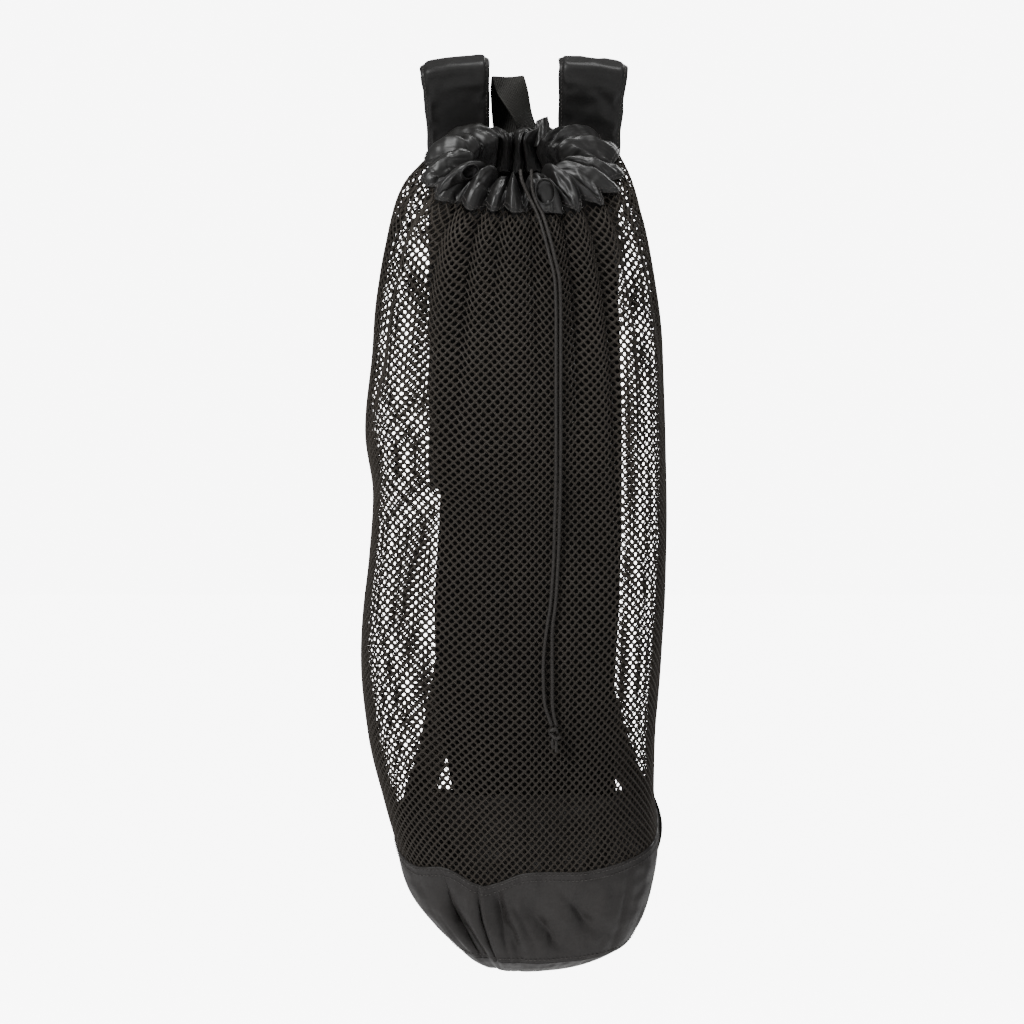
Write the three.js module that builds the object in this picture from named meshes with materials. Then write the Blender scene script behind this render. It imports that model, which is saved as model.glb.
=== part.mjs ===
// Mesh dive gear bag, in millimetres, +Z up, front towards -Y.
// It hangs by its shoulder straps from a bar. The origin is the middle of the line where they bear on it.
// The cloth keeps the filled shape of the bag, and the bag itself is open and empty.
import * as THREE from "three";

// Driving dimensions of the bag
const BODY_DROP = 584;
const BODY_WIDTH = 236;
const BODY_DEPTH = 168;
const LEAN_DEG = 6;
const FORWARD = 21;
const SEAM_BELOW_BAR = 94;
const SKIRT_HEIGHT = 76;
const PANEL_WIDTH = 150;
const PANEL_SIDE_SHIFT = 8;
const NET_SEAM_SHIFT = 24;
const BASE_BULGE = 27;
const BASE_TIP_SHIFT = -22;
const BASE_ROUNDNESS = 1.8;

// Walls and the gap between touching pieces
const NET_WALL = 1.4;
const NYLON_WALL = 1.6;
const SEAM_GAP = 0.9;

// Collar: the gathered casing round the mouth
const MOUTH_WIDTH = 68;
const MOUTH_DEPTH = 50;
const MOUTH_SIDE_SHIFT = -6;
const MOUTH_RISE = 9;
const MOUTH_PUCKER = 0.16;
const COLLAR_CREST = 11;
const COLLAR_FOLD = 9;
const FOLD_DEPTH = 5.5;
const FOLD_REACH = 95;
const FOLD_FADE = 1.5;

// Straps, webbing, adjusters and the haul loop
const BAR_RADIUS = 12;
const STRAP_WIDTH = 51;
const STRAP_THICK = 8;
const STRAP_EDGE = 3;
const STRAP_LEFT_X = -53;
const STRAP_RIGHT_X = 50;
const STRAP_FLAT = 0.84;
const STRAP_SEWN = 26;
const STRAP_RISE = 6;
const STRAP_CLEAR = 1.6;
const PAD_DROP = 335;
const ARM_GAP = 17;
const WEBBING_WIDTH = 25;
const WEBBING_THICK = 2;
const JOIN_GAP = 1.5;
const SLIDER_WIDTH = 32;
const SLIDER_HEIGHT = 24;
const SLIDER_THICK = 6.5;
const SLIDER_AT = 0.3;
const SLOT_SIDE_ROOM = 1.6;
const SLOT_THICK_ROOM = 2.4;
const TAB_LENGTH = 26;
const TAB_THICK = 3;
const TAB_PAST = 4.5;
const TAB_CLEAR = 1.2;
const LOOP_HEIGHT = 51;
const LOOP_DEPTH = 19;
const LOOP_X = -13;
const LOOP_SPREAD = 24;
const LOOP_SEWN = 22;
const LOOP_CLEAR = 0.6;
const LOOP_TURN_DEG = 28;
const LOOP_FRONT_LEG = 0.45;

// Drawcord
const CORD_RADIUS = 1.4;
const KNOT_RADIUS = 4.6;
const KNOT_HEIGHT = 8.5;

// Facets: columns in each gather, columns and rows of the base, and steps along each band
const NET_COLUMNS = 4;
const COLLAR_COLUMNS = 6;
const SKIRT_ROWS = 4;
const BASE_COLUMNS = 36;
const BASE_ROWS = 4;
const BASE_MIDDLE = 0.12;
const STRAP_STEPS = 30;
const WEBBING_STEPS = 16;
const TAB_STEPS = 6;
const LOOP_STEPS = 26;
const CORD_STEPS = 44;
const CORD_SIDES = 8;
const KNOT_SIDES = 12;

const COLOURS = {
  net: 0x302b28,
  panel: 0x2a2928,
  nylon: 0x4a4644,
  casing: 0x343230,
  strap: 0x242323,
  webbing: 0x2b2a27,
  tab: 0x201f1e,
  slider: 0x1c1c1d,
  loop: 0x2e2d29,
  cord: 0x2f2d2b,
};

// Routes of the two ends of the drawcord, from the casing's gap to the knot, and the knot's middle
const CORD_LEFT = [
  [-4.7, -95.6, -92],
  [-3.6, -98.8, -99.6],
  [-0.8, -99.4, -107],
  [3.0, -100.2, -115],
  [8.6, -103.8, -126.5],
  [13.3, -108.2, -142],
  [17.9, -111.8, -160.5],
  [21.2, -113.4, -175],
  [22.3, -114.0, -194],
  [22.4, -114.2, -226],
  [22.4, -114.2, -265],
  [22.4, -112.8, -304],
  [22.2, -110.2, -334.5],
  [21.4, -106.0, -362.5],
  [20.7, -103.2, -387.5],
  [18.3, -102.3, -422.5],
  [15.6, -101.6, -440.5],
  [13.3, -100.5, -460],
  [12.9, -99.3, -479.5],
  [14.2, -97.2, -499],
  [16.8, -96.0, -508],
  [19.6, -96.2, -515.4],
];
const CORD_RIGHT = [
  [3.9, -97.2, -92],
  [4.1, -98.2, -99.6],
  [4.6, -99.6, -107],
  [6.8, -101.0, -115],
  [12.2, -106.0, -126.5],
  [17.0, -109.8, -142],
  [21.6, -112.8, -160.5],
  [24.8, -113.8, -175],
  [25.8, -114.0, -194],
  [25.9, -114.2, -226],
  [25.9, -114.2, -265],
  [25.9, -112.7, -304],
  [25.7, -110.1, -334.5],
  [25.0, -105.9, -362.5],
  [24.2, -103.2, -387.5],
  [22.0, -102.3, -422.5],
  [19.8, -101.7, -440.5],
  [19.5, -100.6, -460],
  [19.7, -99.4, -479.5],
  [19.8, -97.2, -499],
  [21.0, -96.1, -508],
  [22.9, -96.2, -515.4],
];
const KNOT_CENTRE = [21.2, -96.2, -520.2];

const rad = THREE.MathUtils.degToRad;
const lerp = THREE.MathUtils.lerp;
const TAU = Math.PI * 2;

// Sections of the bag from the collar's seam (down 0) to the base seam (down 1), as shares of the named sizes.
// left and right are shares of half the width, front and back of half the depth. tilt lowers the front.
const SECTIONS = [
  { down: 0.0, left: 0.64, right: 0.6, front: 0.68, back: 0.72, tilt: 32 },
  { down: 0.03, left: 0.78, right: 0.68, front: 0.76, back: 0.75, tilt: 31.5 },
  { down: 0.07, left: 0.87, right: 0.75, front: 0.83, back: 0.78, tilt: 30 },
  { down: 0.15, left: 0.96, right: 0.84, front: 0.92, back: 0.82, tilt: 28 },
  { down: 0.22, left: 1.0, right: 0.89, front: 0.98, back: 0.84, tilt: 26 },
  { down: 0.33, left: 1.06, right: 0.915, front: 1.06, back: 0.86, tilt: 24 },
  { down: 0.41, left: 1.01, right: 0.925, front: 1.04, back: 0.86, tilt: 23 },
  { down: 0.51, left: 1.04, right: 0.925, front: 1.06, back: 0.86, tilt: 22 },
  { down: 0.62, left: 1.09, right: 0.9, front: 1.06, back: 0.86, tilt: 22 },
  { down: 0.73, left: 1.05, right: 0.86, front: 1.0, back: 0.84, tilt: 22 },
  { down: 0.82, left: 0.95, right: 0.855, front: 0.94, back: 0.82, tilt: 23 },
  { down: 0.88, left: 0.865, right: 0.88, front: 0.9, back: 0.8, tilt: 23 },
  { down: 0.93, left: 0.8, right: 0.845, front: 0.86, back: 0.76, tilt: 23 },
  { down: 0.97, left: 0.65, right: 0.79, front: 0.78, back: 0.7, tilt: 23 },
  { down: 1.0, left: 0.5, right: 0.71, front: 0.7, back: 0.64, tilt: 23 },
];

// Gathers under the collar, one row per ridge. at is a share of the girth from the middle of the back round
// by the right side; rise scales the ridge and reach scales how far down it runs.
const GATHERS = [
  { at: 0.0, rise: 0.7, reach: 0.5 },
  { at: 0.065, rise: 0.9, reach: 0.6 },
  { at: 0.125, rise: 1.1, reach: 0.7 },
  { at: 0.19, rise: 0.9, reach: 0.8 },
  { at: 0.255, rise: 0.9, reach: 0.9 },
  { at: 0.315, rise: 1.1, reach: 1.2 },
  { at: 0.365, rise: 1.0, reach: 1.5 },
  { at: 0.41, rise: 0.9, reach: 1.3 },
  { at: 0.457, rise: 1.1, reach: 1.1 },
  { at: 0.524, rise: 1.0, reach: 0.9 },
  { at: 0.557, rise: 0.8, reach: 0.9 },
  { at: 0.595, rise: 1.2, reach: 1.2 },
  { at: 0.655, rise: 1.2, reach: 1.5 },
  { at: 0.725, rise: 1.0, reach: 1.0 },
  { at: 0.79, rise: 0.9, reach: 0.8 },
  { at: 0.86, rise: 1.2, reach: 0.7 },
  { at: 0.93, rise: 0.9, reach: 0.6 },
];

// Hollows (depth below 0) and swells of the cloth. at and down place the middle, wide and tall its size, all
// as shares of the girth and of the drop; slant moves the middle round as it goes down.
const DENTS = [
  { at: 0.56, down: 0.3, wide: 0.07, tall: 0.07, slant: 0.2, depth: 0.035 },
  { at: 0.63, down: 0.42, wide: 0.05, tall: 0.05, slant: 0.5, depth: -0.03 },
  { at: 0.47, down: 0.42, wide: 0.06, tall: 0.16, slant: 0.1, depth: -0.035 },
  { at: 0.4, down: 0.55, wide: 0.07, tall: 0.16, slant: 0.0, depth: 0.025 },
  { at: 0.58, down: 0.74, wide: 0.03, tall: 0.15, slant: -0.25, depth: -0.035 },
  { at: 0.53, down: 0.94, wide: 0.012, tall: 0.05, slant: -0.3, depth: -0.035 },
  { at: 0.6, down: 0.95, wide: 0.014, tall: 0.06, slant: -0.2, depth: -0.04 },
  { at: 0.475, down: 0.94, wide: 0.022, tall: 0.035, slant: -0.6, depth: -0.045 },
  { at: 0.42, down: 0.94, wide: 0.022, tall: 0.035, slant: -0.6, depth: -0.04 },
];

// The skirt's top seam dips and rises as it goes round, in shares of the skirt's height.
const SKIRT_WAVES = [
  { at: 0.0, rise: 0.0 },
  { at: 0.2, rise: 0.03 },
  { at: 0.34, rise: 0.06 },
  { at: 0.43, rise: 0.02 },
  { at: 0.5, rise: 0.03 },
  { at: 0.555, rise: -0.14 },
  { at: 0.6, rise: 0.02 },
  { at: 0.66, rise: -0.06 },
  { at: 0.8, rise: 0.02 },
  { at: 1.0, rise: 0.0 },
];

// How the webbing goes from the padded strap to its tab: how far round, down and close to the bag.
const WEBBING_RUN = [
  { round: -0.1, down: 0.22, close: 0.2 },
  { round: 0.0, down: 0.45, close: 0.3 },
  { round: 0.5, down: 0.75, close: 0.5 },
  { round: 1.02, down: 0.9, close: 0.82 },
  { round: 1.0, down: 1.0, close: 1.0 },
];

// How a strap comes down behind its fold. back is a share of the fold's radius, and down of the way from the
// fold's middle to the panel's top edge; then it keeps its distance from the bag at shares of the pad's drop.
const STRAP_FALL = [
  { back: 1.15, down: 0.52 },
  { back: 1.9, down: 1.08 },
];
const PAD_STOPS = [0.22, 0.6, 1];

// The haul loop's course from its front foot over the top to its back foot. aside is a share of the spread
// and back of the depth. high is a share of the height, or below 0 of the sewn length.
const LOOP_RUN = [
  { aside: 0.75, back: 0, high: -1 },
  { aside: 0.72, back: 0, high: 0 },
  { aside: 0.55, back: -0.4, high: 0.42 },
  { aside: 0.15, back: -0.4, high: 0.85 },
  { aside: 0, back: -0.14, high: 1 },
  { aside: -0.05, back: 0.34, high: 0.85 },
  { aside: 0, back: 0.6, high: 0.4 },
  { aside: 0.05, back: 0.42, high: 0 },
  { aside: 0.08, back: 0.34, high: -1 },
];

// Half the outline of the drawcord's knot, in shares of its radius and height
const KNOT_PROFILE = [
  { round: 0, high: -0.5 },
  { round: 0.55, high: -0.46 },
  { round: 0.9, high: -0.25 },
  { round: 1, high: 0 },
  { round: 0.85, high: 0.28 },
  { round: 0.55, high: 0.46 },
  { round: 0, high: 0.5 },
];

// How square the section is, at the front and at the back
const FRONT_SQUARE = 0.035;
const BACK_SQUARE = 0.1;

// Rows of a table joined by smooth curves: the value of one column at a place along the key column.
function along(rows, key, column, place) {
  const last = rows.length - 1;
  let i = rows.findIndex((row) => row[key] > place) - 1;
  if (i < 0) i = place < rows[0][key] ? 0 : last - 1;
  const slope = (k) => {
    const before = Math.max(k - 1, 0);
    const after = Math.min(k + 1, last);
    return (rows[after][column] - rows[before][column]) / (rows[after][key] - rows[before][key]);
  };
  const span = rows[i + 1][key] - rows[i][key];
  const t = (place - rows[i][key]) / span;
  const t2 = t * t;
  const t3 = t2 * t;
  return (
    (2 * t3 - 3 * t2 + 1) * rows[i][column] +
    (t3 - 2 * t2 + t) * span * slope(i) +
    (3 * t2 - 2 * t3) * rows[i + 1][column] +
    (t3 - t2) * span * slope(i + 1)
  );
}

// The turn, as an angle from the back, at an even share of the girth of a typical section.
const TURN_STEPS = 720;
function unitSection(turn) {
  const square = Math.cos(turn) > 0 ? BACK_SQUARE : FRONT_SQUARE;
  return {
    across: (Math.sin(turn) + square * Math.sin(3 * turn)) / (1 - square),
    deep: (Math.cos(turn) - square * Math.cos(3 * turn)) / (1 - square),
  };
}
const girthSoFar = [0];
for (let i = 1; i <= TURN_STEPS; i += 1) {
  const a = unitSection((TAU * (i - 1)) / TURN_STEPS);
  const b = unitSection((TAU * i) / TURN_STEPS);
  const step = Math.hypot((b.across - a.across) * BODY_WIDTH, (b.deep - a.deep) * BODY_DEPTH);
  girthSoFar.push(girthSoFar[i - 1] + step);
}
function turnAt(share) {
  const wanted = (share - Math.floor(share)) * girthSoFar[TURN_STEPS];
  let i = 1;
  while (i < TURN_STEPS && girthSoFar[i] < wanted) i += 1;
  const part = (wanted - girthSoFar[i - 1]) / (girthSoFar[i] - girthSoFar[i - 1]);
  return (TAU * (i - 1 + part)) / TURN_STEPS;
}

// Gathers: 1 on a ridge, -1 in the valley beside it, with the rise and reach of the ridges on each side.
function gatherAt(share) {
  const at = share - Math.floor(share);
  const count = GATHERS.length;
  let i = count - 1;
  while (i > 0 && GATHERS[i].at > at) i -= 1;
  const here = GATHERS[i];
  const next = GATHERS[(i + 1) % count];
  const end = i + 1 < count ? next.at : 1;
  const t = (at - here.at) / (end - here.at);
  return {
    wave: Math.cos(TAU * t),
    rise: lerp(here.rise, next.rise, t),
    reach: lerp(here.reach, next.reach, t),
  };
}

// The bag's outer surface: share of the girth, and share of the drop from the collar's seam to the base seam.
function bagPoint(share, down) {
  const turn = turnAt(share);
  const unit = unitSection(turn);
  const sideways = unit.across > 0 ? "right" : "left";
  const deepways = unit.deep > 0 ? "back" : "front";
  const half = { side: BODY_WIDTH / 2, deep: BODY_DEPTH / 2 };
  const side = along(SECTIONS, "down", sideways, down) * half.side;
  const deep = along(SECTIONS, "down", deepways, down) * half.deep;
  const tilt = rad(along(SECTIONS, "down", "tilt", down));
  const gather = gatherAt(share);
  const below = Math.max(down, 0) * BODY_DROP;
  const fade = Math.exp(-((below / (FOLD_REACH * gather.reach)) ** FOLD_FADE));
  let out = FOLD_DEPTH * gather.rise * gather.wave * fade;
  for (const dent of DENTS) {
    const round = (share - dent.at - dent.slant * (down - dent.down)) / dent.wide;
    const drop = (down - dent.down) / dent.tall;
    out += dent.depth * BODY_DEPTH * Math.exp(-round * round - drop * drop);
  }
  const facing = new THREE.Vector2(unit.across / side, unit.deep / deep).normalize();
  const across = unit.across * side + facing.x * out;
  const inward = unit.deep * deep + facing.y * out;
  const lean = (down - 0.5) * BODY_DROP * Math.tan(rad(LEAN_DEG));
  return new THREE.Vector3(
    across,
    lean - FORWARD + inward * Math.cos(tilt),
    -SEAM_BELOW_BAR - down * BODY_DROP + inward * Math.sin(tilt),
  );
}

// Profile of the collar from the mouth's rim to its seam: how far out, how high, and how strongly gathered.
const COLLAR_PROFILE = [
  { place: 0.0, out: 0.02, high: -0.25, fold: 0.75 },
  { place: 0.14, out: 0.0, high: 0.45, fold: 1.0 },
  { place: 0.34, out: 0.2, high: 1.0, fold: 1.0 },
  { place: 0.6, out: 0.58, high: 1.0, fold: 0.95 },
  { place: 0.84, out: 0.9, high: 0.5, fold: 0.8 },
  { place: 1.0, out: 1.0, high: 0.0, fold: 0.0 },
];

// The collar's outer surface: share of the girth, and place from the mouth's rim (0) to the seam (1).
function collarPoint(share, place) {
  const turn = turnAt(share);
  const seam = bagPoint(share, 0);
  const tilt = rad(SECTIONS[0].tilt);
  const up = new THREE.Vector3(0, -Math.sin(tilt), Math.cos(tilt));
  const back = new THREE.Vector3(0, Math.cos(tilt), Math.sin(tilt));
  const centre = bagPoint(0, 0).add(bagPoint(0.5, 0)).multiplyScalar(0.5);
  const gather = gatherAt(share);
  const narrow = 1 - MOUTH_PUCKER * gather.wave;
  const aside = MOUTH_SIDE_SHIFT + (Math.sin(turn) * MOUTH_WIDTH * narrow) / 2;
  const rim = centre
    .clone()
    .addScaledVector(new THREE.Vector3(1, 0, 0), aside)
    .addScaledVector(back, (Math.cos(turn) * MOUTH_DEPTH * narrow) / 2)
    .addScaledVector(up, MOUTH_RISE);
  const out = along(COLLAR_PROFILE, "place", "out", place);
  const high = along(COLLAR_PROFILE, "place", "high", place);
  const fold = along(COLLAR_PROFILE, "place", "fold", place);
  const crest = high * COLLAR_CREST + fold * COLLAR_FOLD * gather.rise * gather.wave;
  return rim.lerp(seam.addScaledVector(up, SEAM_GAP), out).addScaledVector(up, crest);
}

// The base panel: share of the girth, and place from the middle (0) to the base seam (1).
function basePoint(share, place) {
  const seam = bagPoint(share, 1);
  const middle = bagPoint(0.25, 1).add(bagPoint(0.75, 1)).multiplyScalar(0.5);
  middle.x += BASE_TIP_SHIFT;
  const tilt = rad(SECTIONS[SECTIONS.length - 1].tilt);
  const down = new THREE.Vector3(0, Math.sin(tilt), -Math.cos(tilt));
  const bulge = BASE_BULGE * Math.cos((Math.PI / 2) * Math.min(place, 1) ** BASE_ROUNDNESS);
  return middle.lerp(seam, place).addScaledVector(down, SEAM_GAP + bulge);
}

// A closed solid from a grid of outer points and one of inner points. Rows close into rings if wrap is true.
function shell(outer, inner, wrap) {
  const rows = outer.length;
  const columns = outer[0].length;
  const positions = [];
  const index = [];
  const id = (layer, row, column) => (layer * rows + row) * columns + (column % columns);
  for (const grid of [outer, inner]) {
    for (const row of grid) {
      for (const p of row) positions.push(p.x, p.y, p.z);
    }
  }
  const quad = (a, b, c, d) => index.push(a, b, c, a, c, d);
  const across = wrap ? columns : columns - 1;
  for (let r = 0; r < rows - 1; r += 1) {
    for (let c = 0; c < across; c += 1) {
      quad(id(0, r, c), id(0, r + 1, c), id(0, r + 1, c + 1), id(0, r, c + 1));
      quad(id(1, r, c), id(1, r, c + 1), id(1, r + 1, c + 1), id(1, r + 1, c));
    }
  }
  for (let c = 0; c < across; c += 1) {
    quad(id(0, 0, c), id(0, 0, c + 1), id(1, 0, c + 1), id(1, 0, c));
    quad(id(0, rows - 1, c), id(1, rows - 1, c), id(1, rows - 1, c + 1), id(0, rows - 1, c + 1));
  }
  if (!wrap) {
    for (let r = 0; r < rows - 1; r += 1) {
      quad(id(0, r, 0), id(1, r, 0), id(1, r + 1, 0), id(0, r + 1, 0));
      const end = columns - 1;
      quad(id(0, r, end), id(0, r + 1, end), id(1, r + 1, end), id(1, r, end));
    }
  }
  return facingOut(positions, index);
}

// A geometry from positions and triangles, turned so that its faces point out.
function facingOut(positions, index) {
  const at = (i) => new THREE.Vector3(positions[3 * i], positions[3 * i + 1], positions[3 * i + 2]);
  let volume = 0;
  for (let i = 0; i < index.length; i += 3) {
    volume += at(index[i]).dot(at(index[i + 1]).cross(at(index[i + 2])));
  }
  if (volume < 0) index.reverse();
  const geometry = new THREE.BufferGeometry();
  geometry.setAttribute("position", new THREE.Float32BufferAttribute(positions, 3));
  geometry.setIndex(index);
  geometry.computeVertexNormals();
  return geometry;
}

// The outer grid of a surface, and the same grid moved in by the wall along the surface's own normals.
// places gives each column's rows. side is -1 where the surface's own normals point inwards. mitres gives the
// row that meets a neighbour along a seam, with its place on the bag, so that both walls end in one plane.
const PROBE = 1e-3;
function wallGrids(surface, shares, places, wall, { side = 1, mitres = {} } = {}) {
  const columns = shares.map((share) => ({ share, rows: places(share) }));
  const depth = columns[0].rows.length;
  const outer = steps(0, depth - 1, depth - 1).map((r) => columns.map((c) => surface(c.share, c.rows[r])));
  const inner = outer.map((row, r) =>
    row.map((point, k) => {
      const column = columns[k];
      if (r in mitres) return point.clone().addScaledVector(seamNormal(column.share, mitres[r]), -wall);
      return point.clone().addScaledVector(normalAt(surface, column.share, column.rows[r]), -side * wall);
    }),
  );
  return { outer, inner };
}
function normalAt(surface, share, place) {
  const round = surface(share + PROBE, place).sub(surface(share - PROBE, place));
  const down = surface(share, place + PROBE).sub(surface(share, place - PROBE));
  return round.cross(down).normalize();
}

// The bag's outward normal at a seam, kept in the seam's own plane
function seamNormal(share, down) {
  const tilt = rad(along(SECTIONS, "down", "tilt", down));
  const up = new THREE.Vector3(0, -Math.sin(tilt), Math.cos(tilt));
  const normal = normalAt(bagPoint, share, down);
  return normal.addScaledVector(up, -normal.dot(up)).normalize();
}

// Even steps from one value to another, both ends kept
function steps(from, to, count) {
  return Array.from({ length: count + 1 }, (_, i) => lerp(from, to, i / count));
}

// Shares of the girth with the same number of columns in each gather, so that ridges and valleys are kept.
// One that comes within a quarter of a column of an end is left out.
const QUARTER = 0.25;
function gatheredShares(perGather, from, to) {
  const shares = [];
  GATHERS.forEach((gather, i) => {
    const end = i + 1 < GATHERS.length ? GATHERS[i + 1].at : 1;
    for (let k = 0; k < perGather; k += 1) shares.push(lerp(gather.at, end, k / perGather));
  });
  const clear = QUARTER / (perGather * GATHERS.length);
  return [from, ...shares.filter((share) => share > from + clear && share < to - clear), to];
}

function material(colour, roughness) {
  return new THREE.MeshStandardMaterial({ color: colour, roughness, metalness: 0 });
}
const group = new THREE.Group();
function add(name, geometry, colour, roughness) {
  const mesh = new THREE.Mesh(geometry, material(colour, roughness));
  mesh.name = name;
  group.add(mesh);
}

// Where the body is divided: the net's two sides and the back panel side by side, the skirt below them
const girth = girthSoFar[TURN_STEPS] / 2;
const panelHalf = PANEL_WIDTH / 2 / girth;
const panelMiddle = PANEL_SIDE_SHIFT / girth;
const panelRight = panelMiddle + panelHalf;
const panelLeft = 1 + panelMiddle - panelHalf;
const netSeam = 0.5 - NET_SEAM_SHIFT / girth;
const seamShare = SEAM_GAP / girth / 2;
const seamDrop = SEAM_GAP / BODY_DROP;
const skirtTop = (share) => {
  const wave = along(SKIRT_WAVES, "at", "rise", share - Math.floor(share));
  return 1 - (SKIRT_HEIGHT * (1 + wave)) / BODY_DROP;
};

// Rows of the net and of the back panel, closer together where the gathers are
const NET_ROWS = [0, 0.035, 0.075, 0.12, 0.17, 0.23, 0.31, 0.4, 0.5, 0.6, 0.7, 0.8, 0.9, 1];
const bodyRows = (share) => NET_ROWS.map((row) => row * (skirtTop(share) - seamDrop));
const atCollar = { mitres: { 0: 0 } };

// One side of the net. The two meet in front, behind the drawcord.
function netSide(name, from, to) {
  const shares = gatheredShares(NET_COLUMNS, from + seamShare, to - seamShare);
  const grids = wallGrids(bagPoint, shares, bodyRows, NET_WALL, atCollar);
  add(name, shell(grids.outer, grids.inner, false), COLOURS.net, 0.9);
}

function backPanel() {
  const left = gatheredShares(NET_COLUMNS, panelLeft + seamShare, 1).slice(0, -1);
  const right = gatheredShares(NET_COLUMNS, 0, panelRight - seamShare);
  const shares = [...left, ...right.map((share) => share + 1)];
  const grids = wallGrids(bagPoint, shares, bodyRows, NYLON_WALL, atCollar);
  add("back_panel", shell(grids.outer, grids.inner, false), COLOURS.panel, 0.7);
}

function baseSkirt() {
  const shares = gatheredShares(NET_COLUMNS, 0, 1).slice(0, -1);
  const rows = (share) => steps(skirtTop(share), 1, SKIRT_ROWS);
  const grids = wallGrids(bagPoint, shares, rows, NYLON_WALL, { mitres: { [SKIRT_ROWS]: 1 } });
  add("base_skirt", shell(grids.outer, grids.inner, true), COLOURS.nylon, 0.6);
}

function basePanel() {
  const shares = steps(0, 1, BASE_COLUMNS).slice(0, -1);
  const rows = () => steps(1, BASE_MIDDLE, BASE_ROWS);
  const grids = wallGrids(basePoint, shares, rows, NYLON_WALL, { side: -1, mitres: { 0: 1 } });
  add("base_panel", domeShell(grids.outer, grids.inner), COLOURS.nylon, 0.6);
}

// A shell that is closed over the middle by one point on each face
function domeShell(outer, inner) {
  const rows = outer.length;
  const columns = outer[0].length;
  const positions = [];
  const index = [];
  for (const grid of [outer, inner]) {
    for (const row of grid) {
      for (const p of row) positions.push(p.x, p.y, p.z);
    }
  }
  for (const grid of [outer, inner]) {
    const middle = grid[rows - 1].reduce((sum, p) => sum.add(p), new THREE.Vector3()).divideScalar(columns);
    positions.push(middle.x, middle.y, middle.z);
  }
  const id = (layer, row, column) => (layer * rows + row) * columns + (column % columns);
  const quad = (a, b, c, d) => index.push(a, b, c, a, c, d);
  const middleOf = (layer) => 2 * rows * columns + layer;
  for (let c = 0; c < columns; c += 1) {
    for (let r = 0; r < rows - 1; r += 1) {
      quad(id(0, r, c), id(0, r + 1, c), id(0, r + 1, c + 1), id(0, r, c + 1));
      quad(id(1, r, c), id(1, r, c + 1), id(1, r + 1, c + 1), id(1, r + 1, c));
    }
    quad(id(0, 0, c), id(0, 0, c + 1), id(1, 0, c + 1), id(1, 0, c));
    index.push(id(0, rows - 1, c), middleOf(0), id(0, rows - 1, c + 1));
    index.push(id(1, rows - 1, c), id(1, rows - 1, c + 1), middleOf(1));
  }
  return facingOut(positions, index);
}

function collar() {
  const shares = gatheredShares(COLLAR_COLUMNS, 0, 1).slice(0, -1);
  const places = COLLAR_PROFILE.map((row) => row.place);
  const mitres = { [places.length - 1]: 0 };
  const grids = wallGrids(collarPoint, shares, () => places, NYLON_WALL, { mitres });
  add("collar", shell(grids.outer, grids.inner, true), COLOURS.casing, 0.45);
}

// A band along a curve. The outline is a closed list of [across, through] and faces lie square to the curve.
function band(curve, count, outline, acrossAt) {
  const positions = [];
  const index = [];
  for (let i = 0; i <= count; i += 1) {
    const t = i / count;
    const point = curve.getPointAt(t);
    const tangent = curve.getTangentAt(t);
    const across = acrossAt(t).addScaledVector(tangent, -acrossAt(t).dot(tangent)).normalize();
    const through = new THREE.Vector3().crossVectors(tangent, across);
    for (const [a, b] of outline(t)) {
      const p = point.clone().addScaledVector(across, a).addScaledVector(through, b);
      positions.push(p.x, p.y, p.z);
    }
  }
  const sides = outline(0).length;
  const flat = outline(0).map(([a, b]) => new THREE.Vector2(a, b));
  for (let i = 0; i < count; i += 1) {
    for (let k = 0; k < sides; k += 1) {
      const next = (k + 1) % sides;
      const base = i * sides;
      index.push(base + k, base + next, base + sides + next, base + k, base + sides + next, base + sides + k);
    }
  }
  for (const [a, b, c] of THREE.ShapeUtils.triangulateShape(flat, [])) {
    index.push(a, c, b);
    index.push(count * sides + a, count * sides + b, count * sides + c);
  }
  return facingOut(positions, index);
}
const rectangle = (width, thick) => [
  [-width / 2, -thick / 2],
  [width / 2, -thick / 2],
  [width / 2, thick / 2],
  [-width / 2, thick / 2],
];
const padOutline = (width, thick, edge) => [
  [-width / 2, -edge / 2],
  [(-width * STRAP_FLAT) / 2, -thick / 2],
  [(width * STRAP_FLAT) / 2, -thick / 2],
  [width / 2, -edge / 2],
  [width / 2, edge / 2],
  [(width * STRAP_FLAT) / 2, thick / 2],
  [(-width * STRAP_FLAT) / 2, thick / 2],
  [-width / 2, edge / 2],
];

// How far back the bag reaches at a height, over the width that the straps take
const BACK_REACH = 1.3 * panelHalf;
const BACK_SHARES = steps(panelMiddle - BACK_REACH, panelMiddle + BACK_REACH, 12);
const HALVINGS = 24;
function backOutside(height) {
  const reach = BACK_SHARES.map((share) => {
    let low = 0;
    let high = 1;
    for (let i = 0; i < HALVINGS; i += 1) {
      const middle = (low + high) / 2;
      if (bagPoint(share, middle).z > height) low = middle;
      else high = middle;
    }
    return bagPoint(share, low).y;
  });
  return Math.max(...reach);
}

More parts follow.
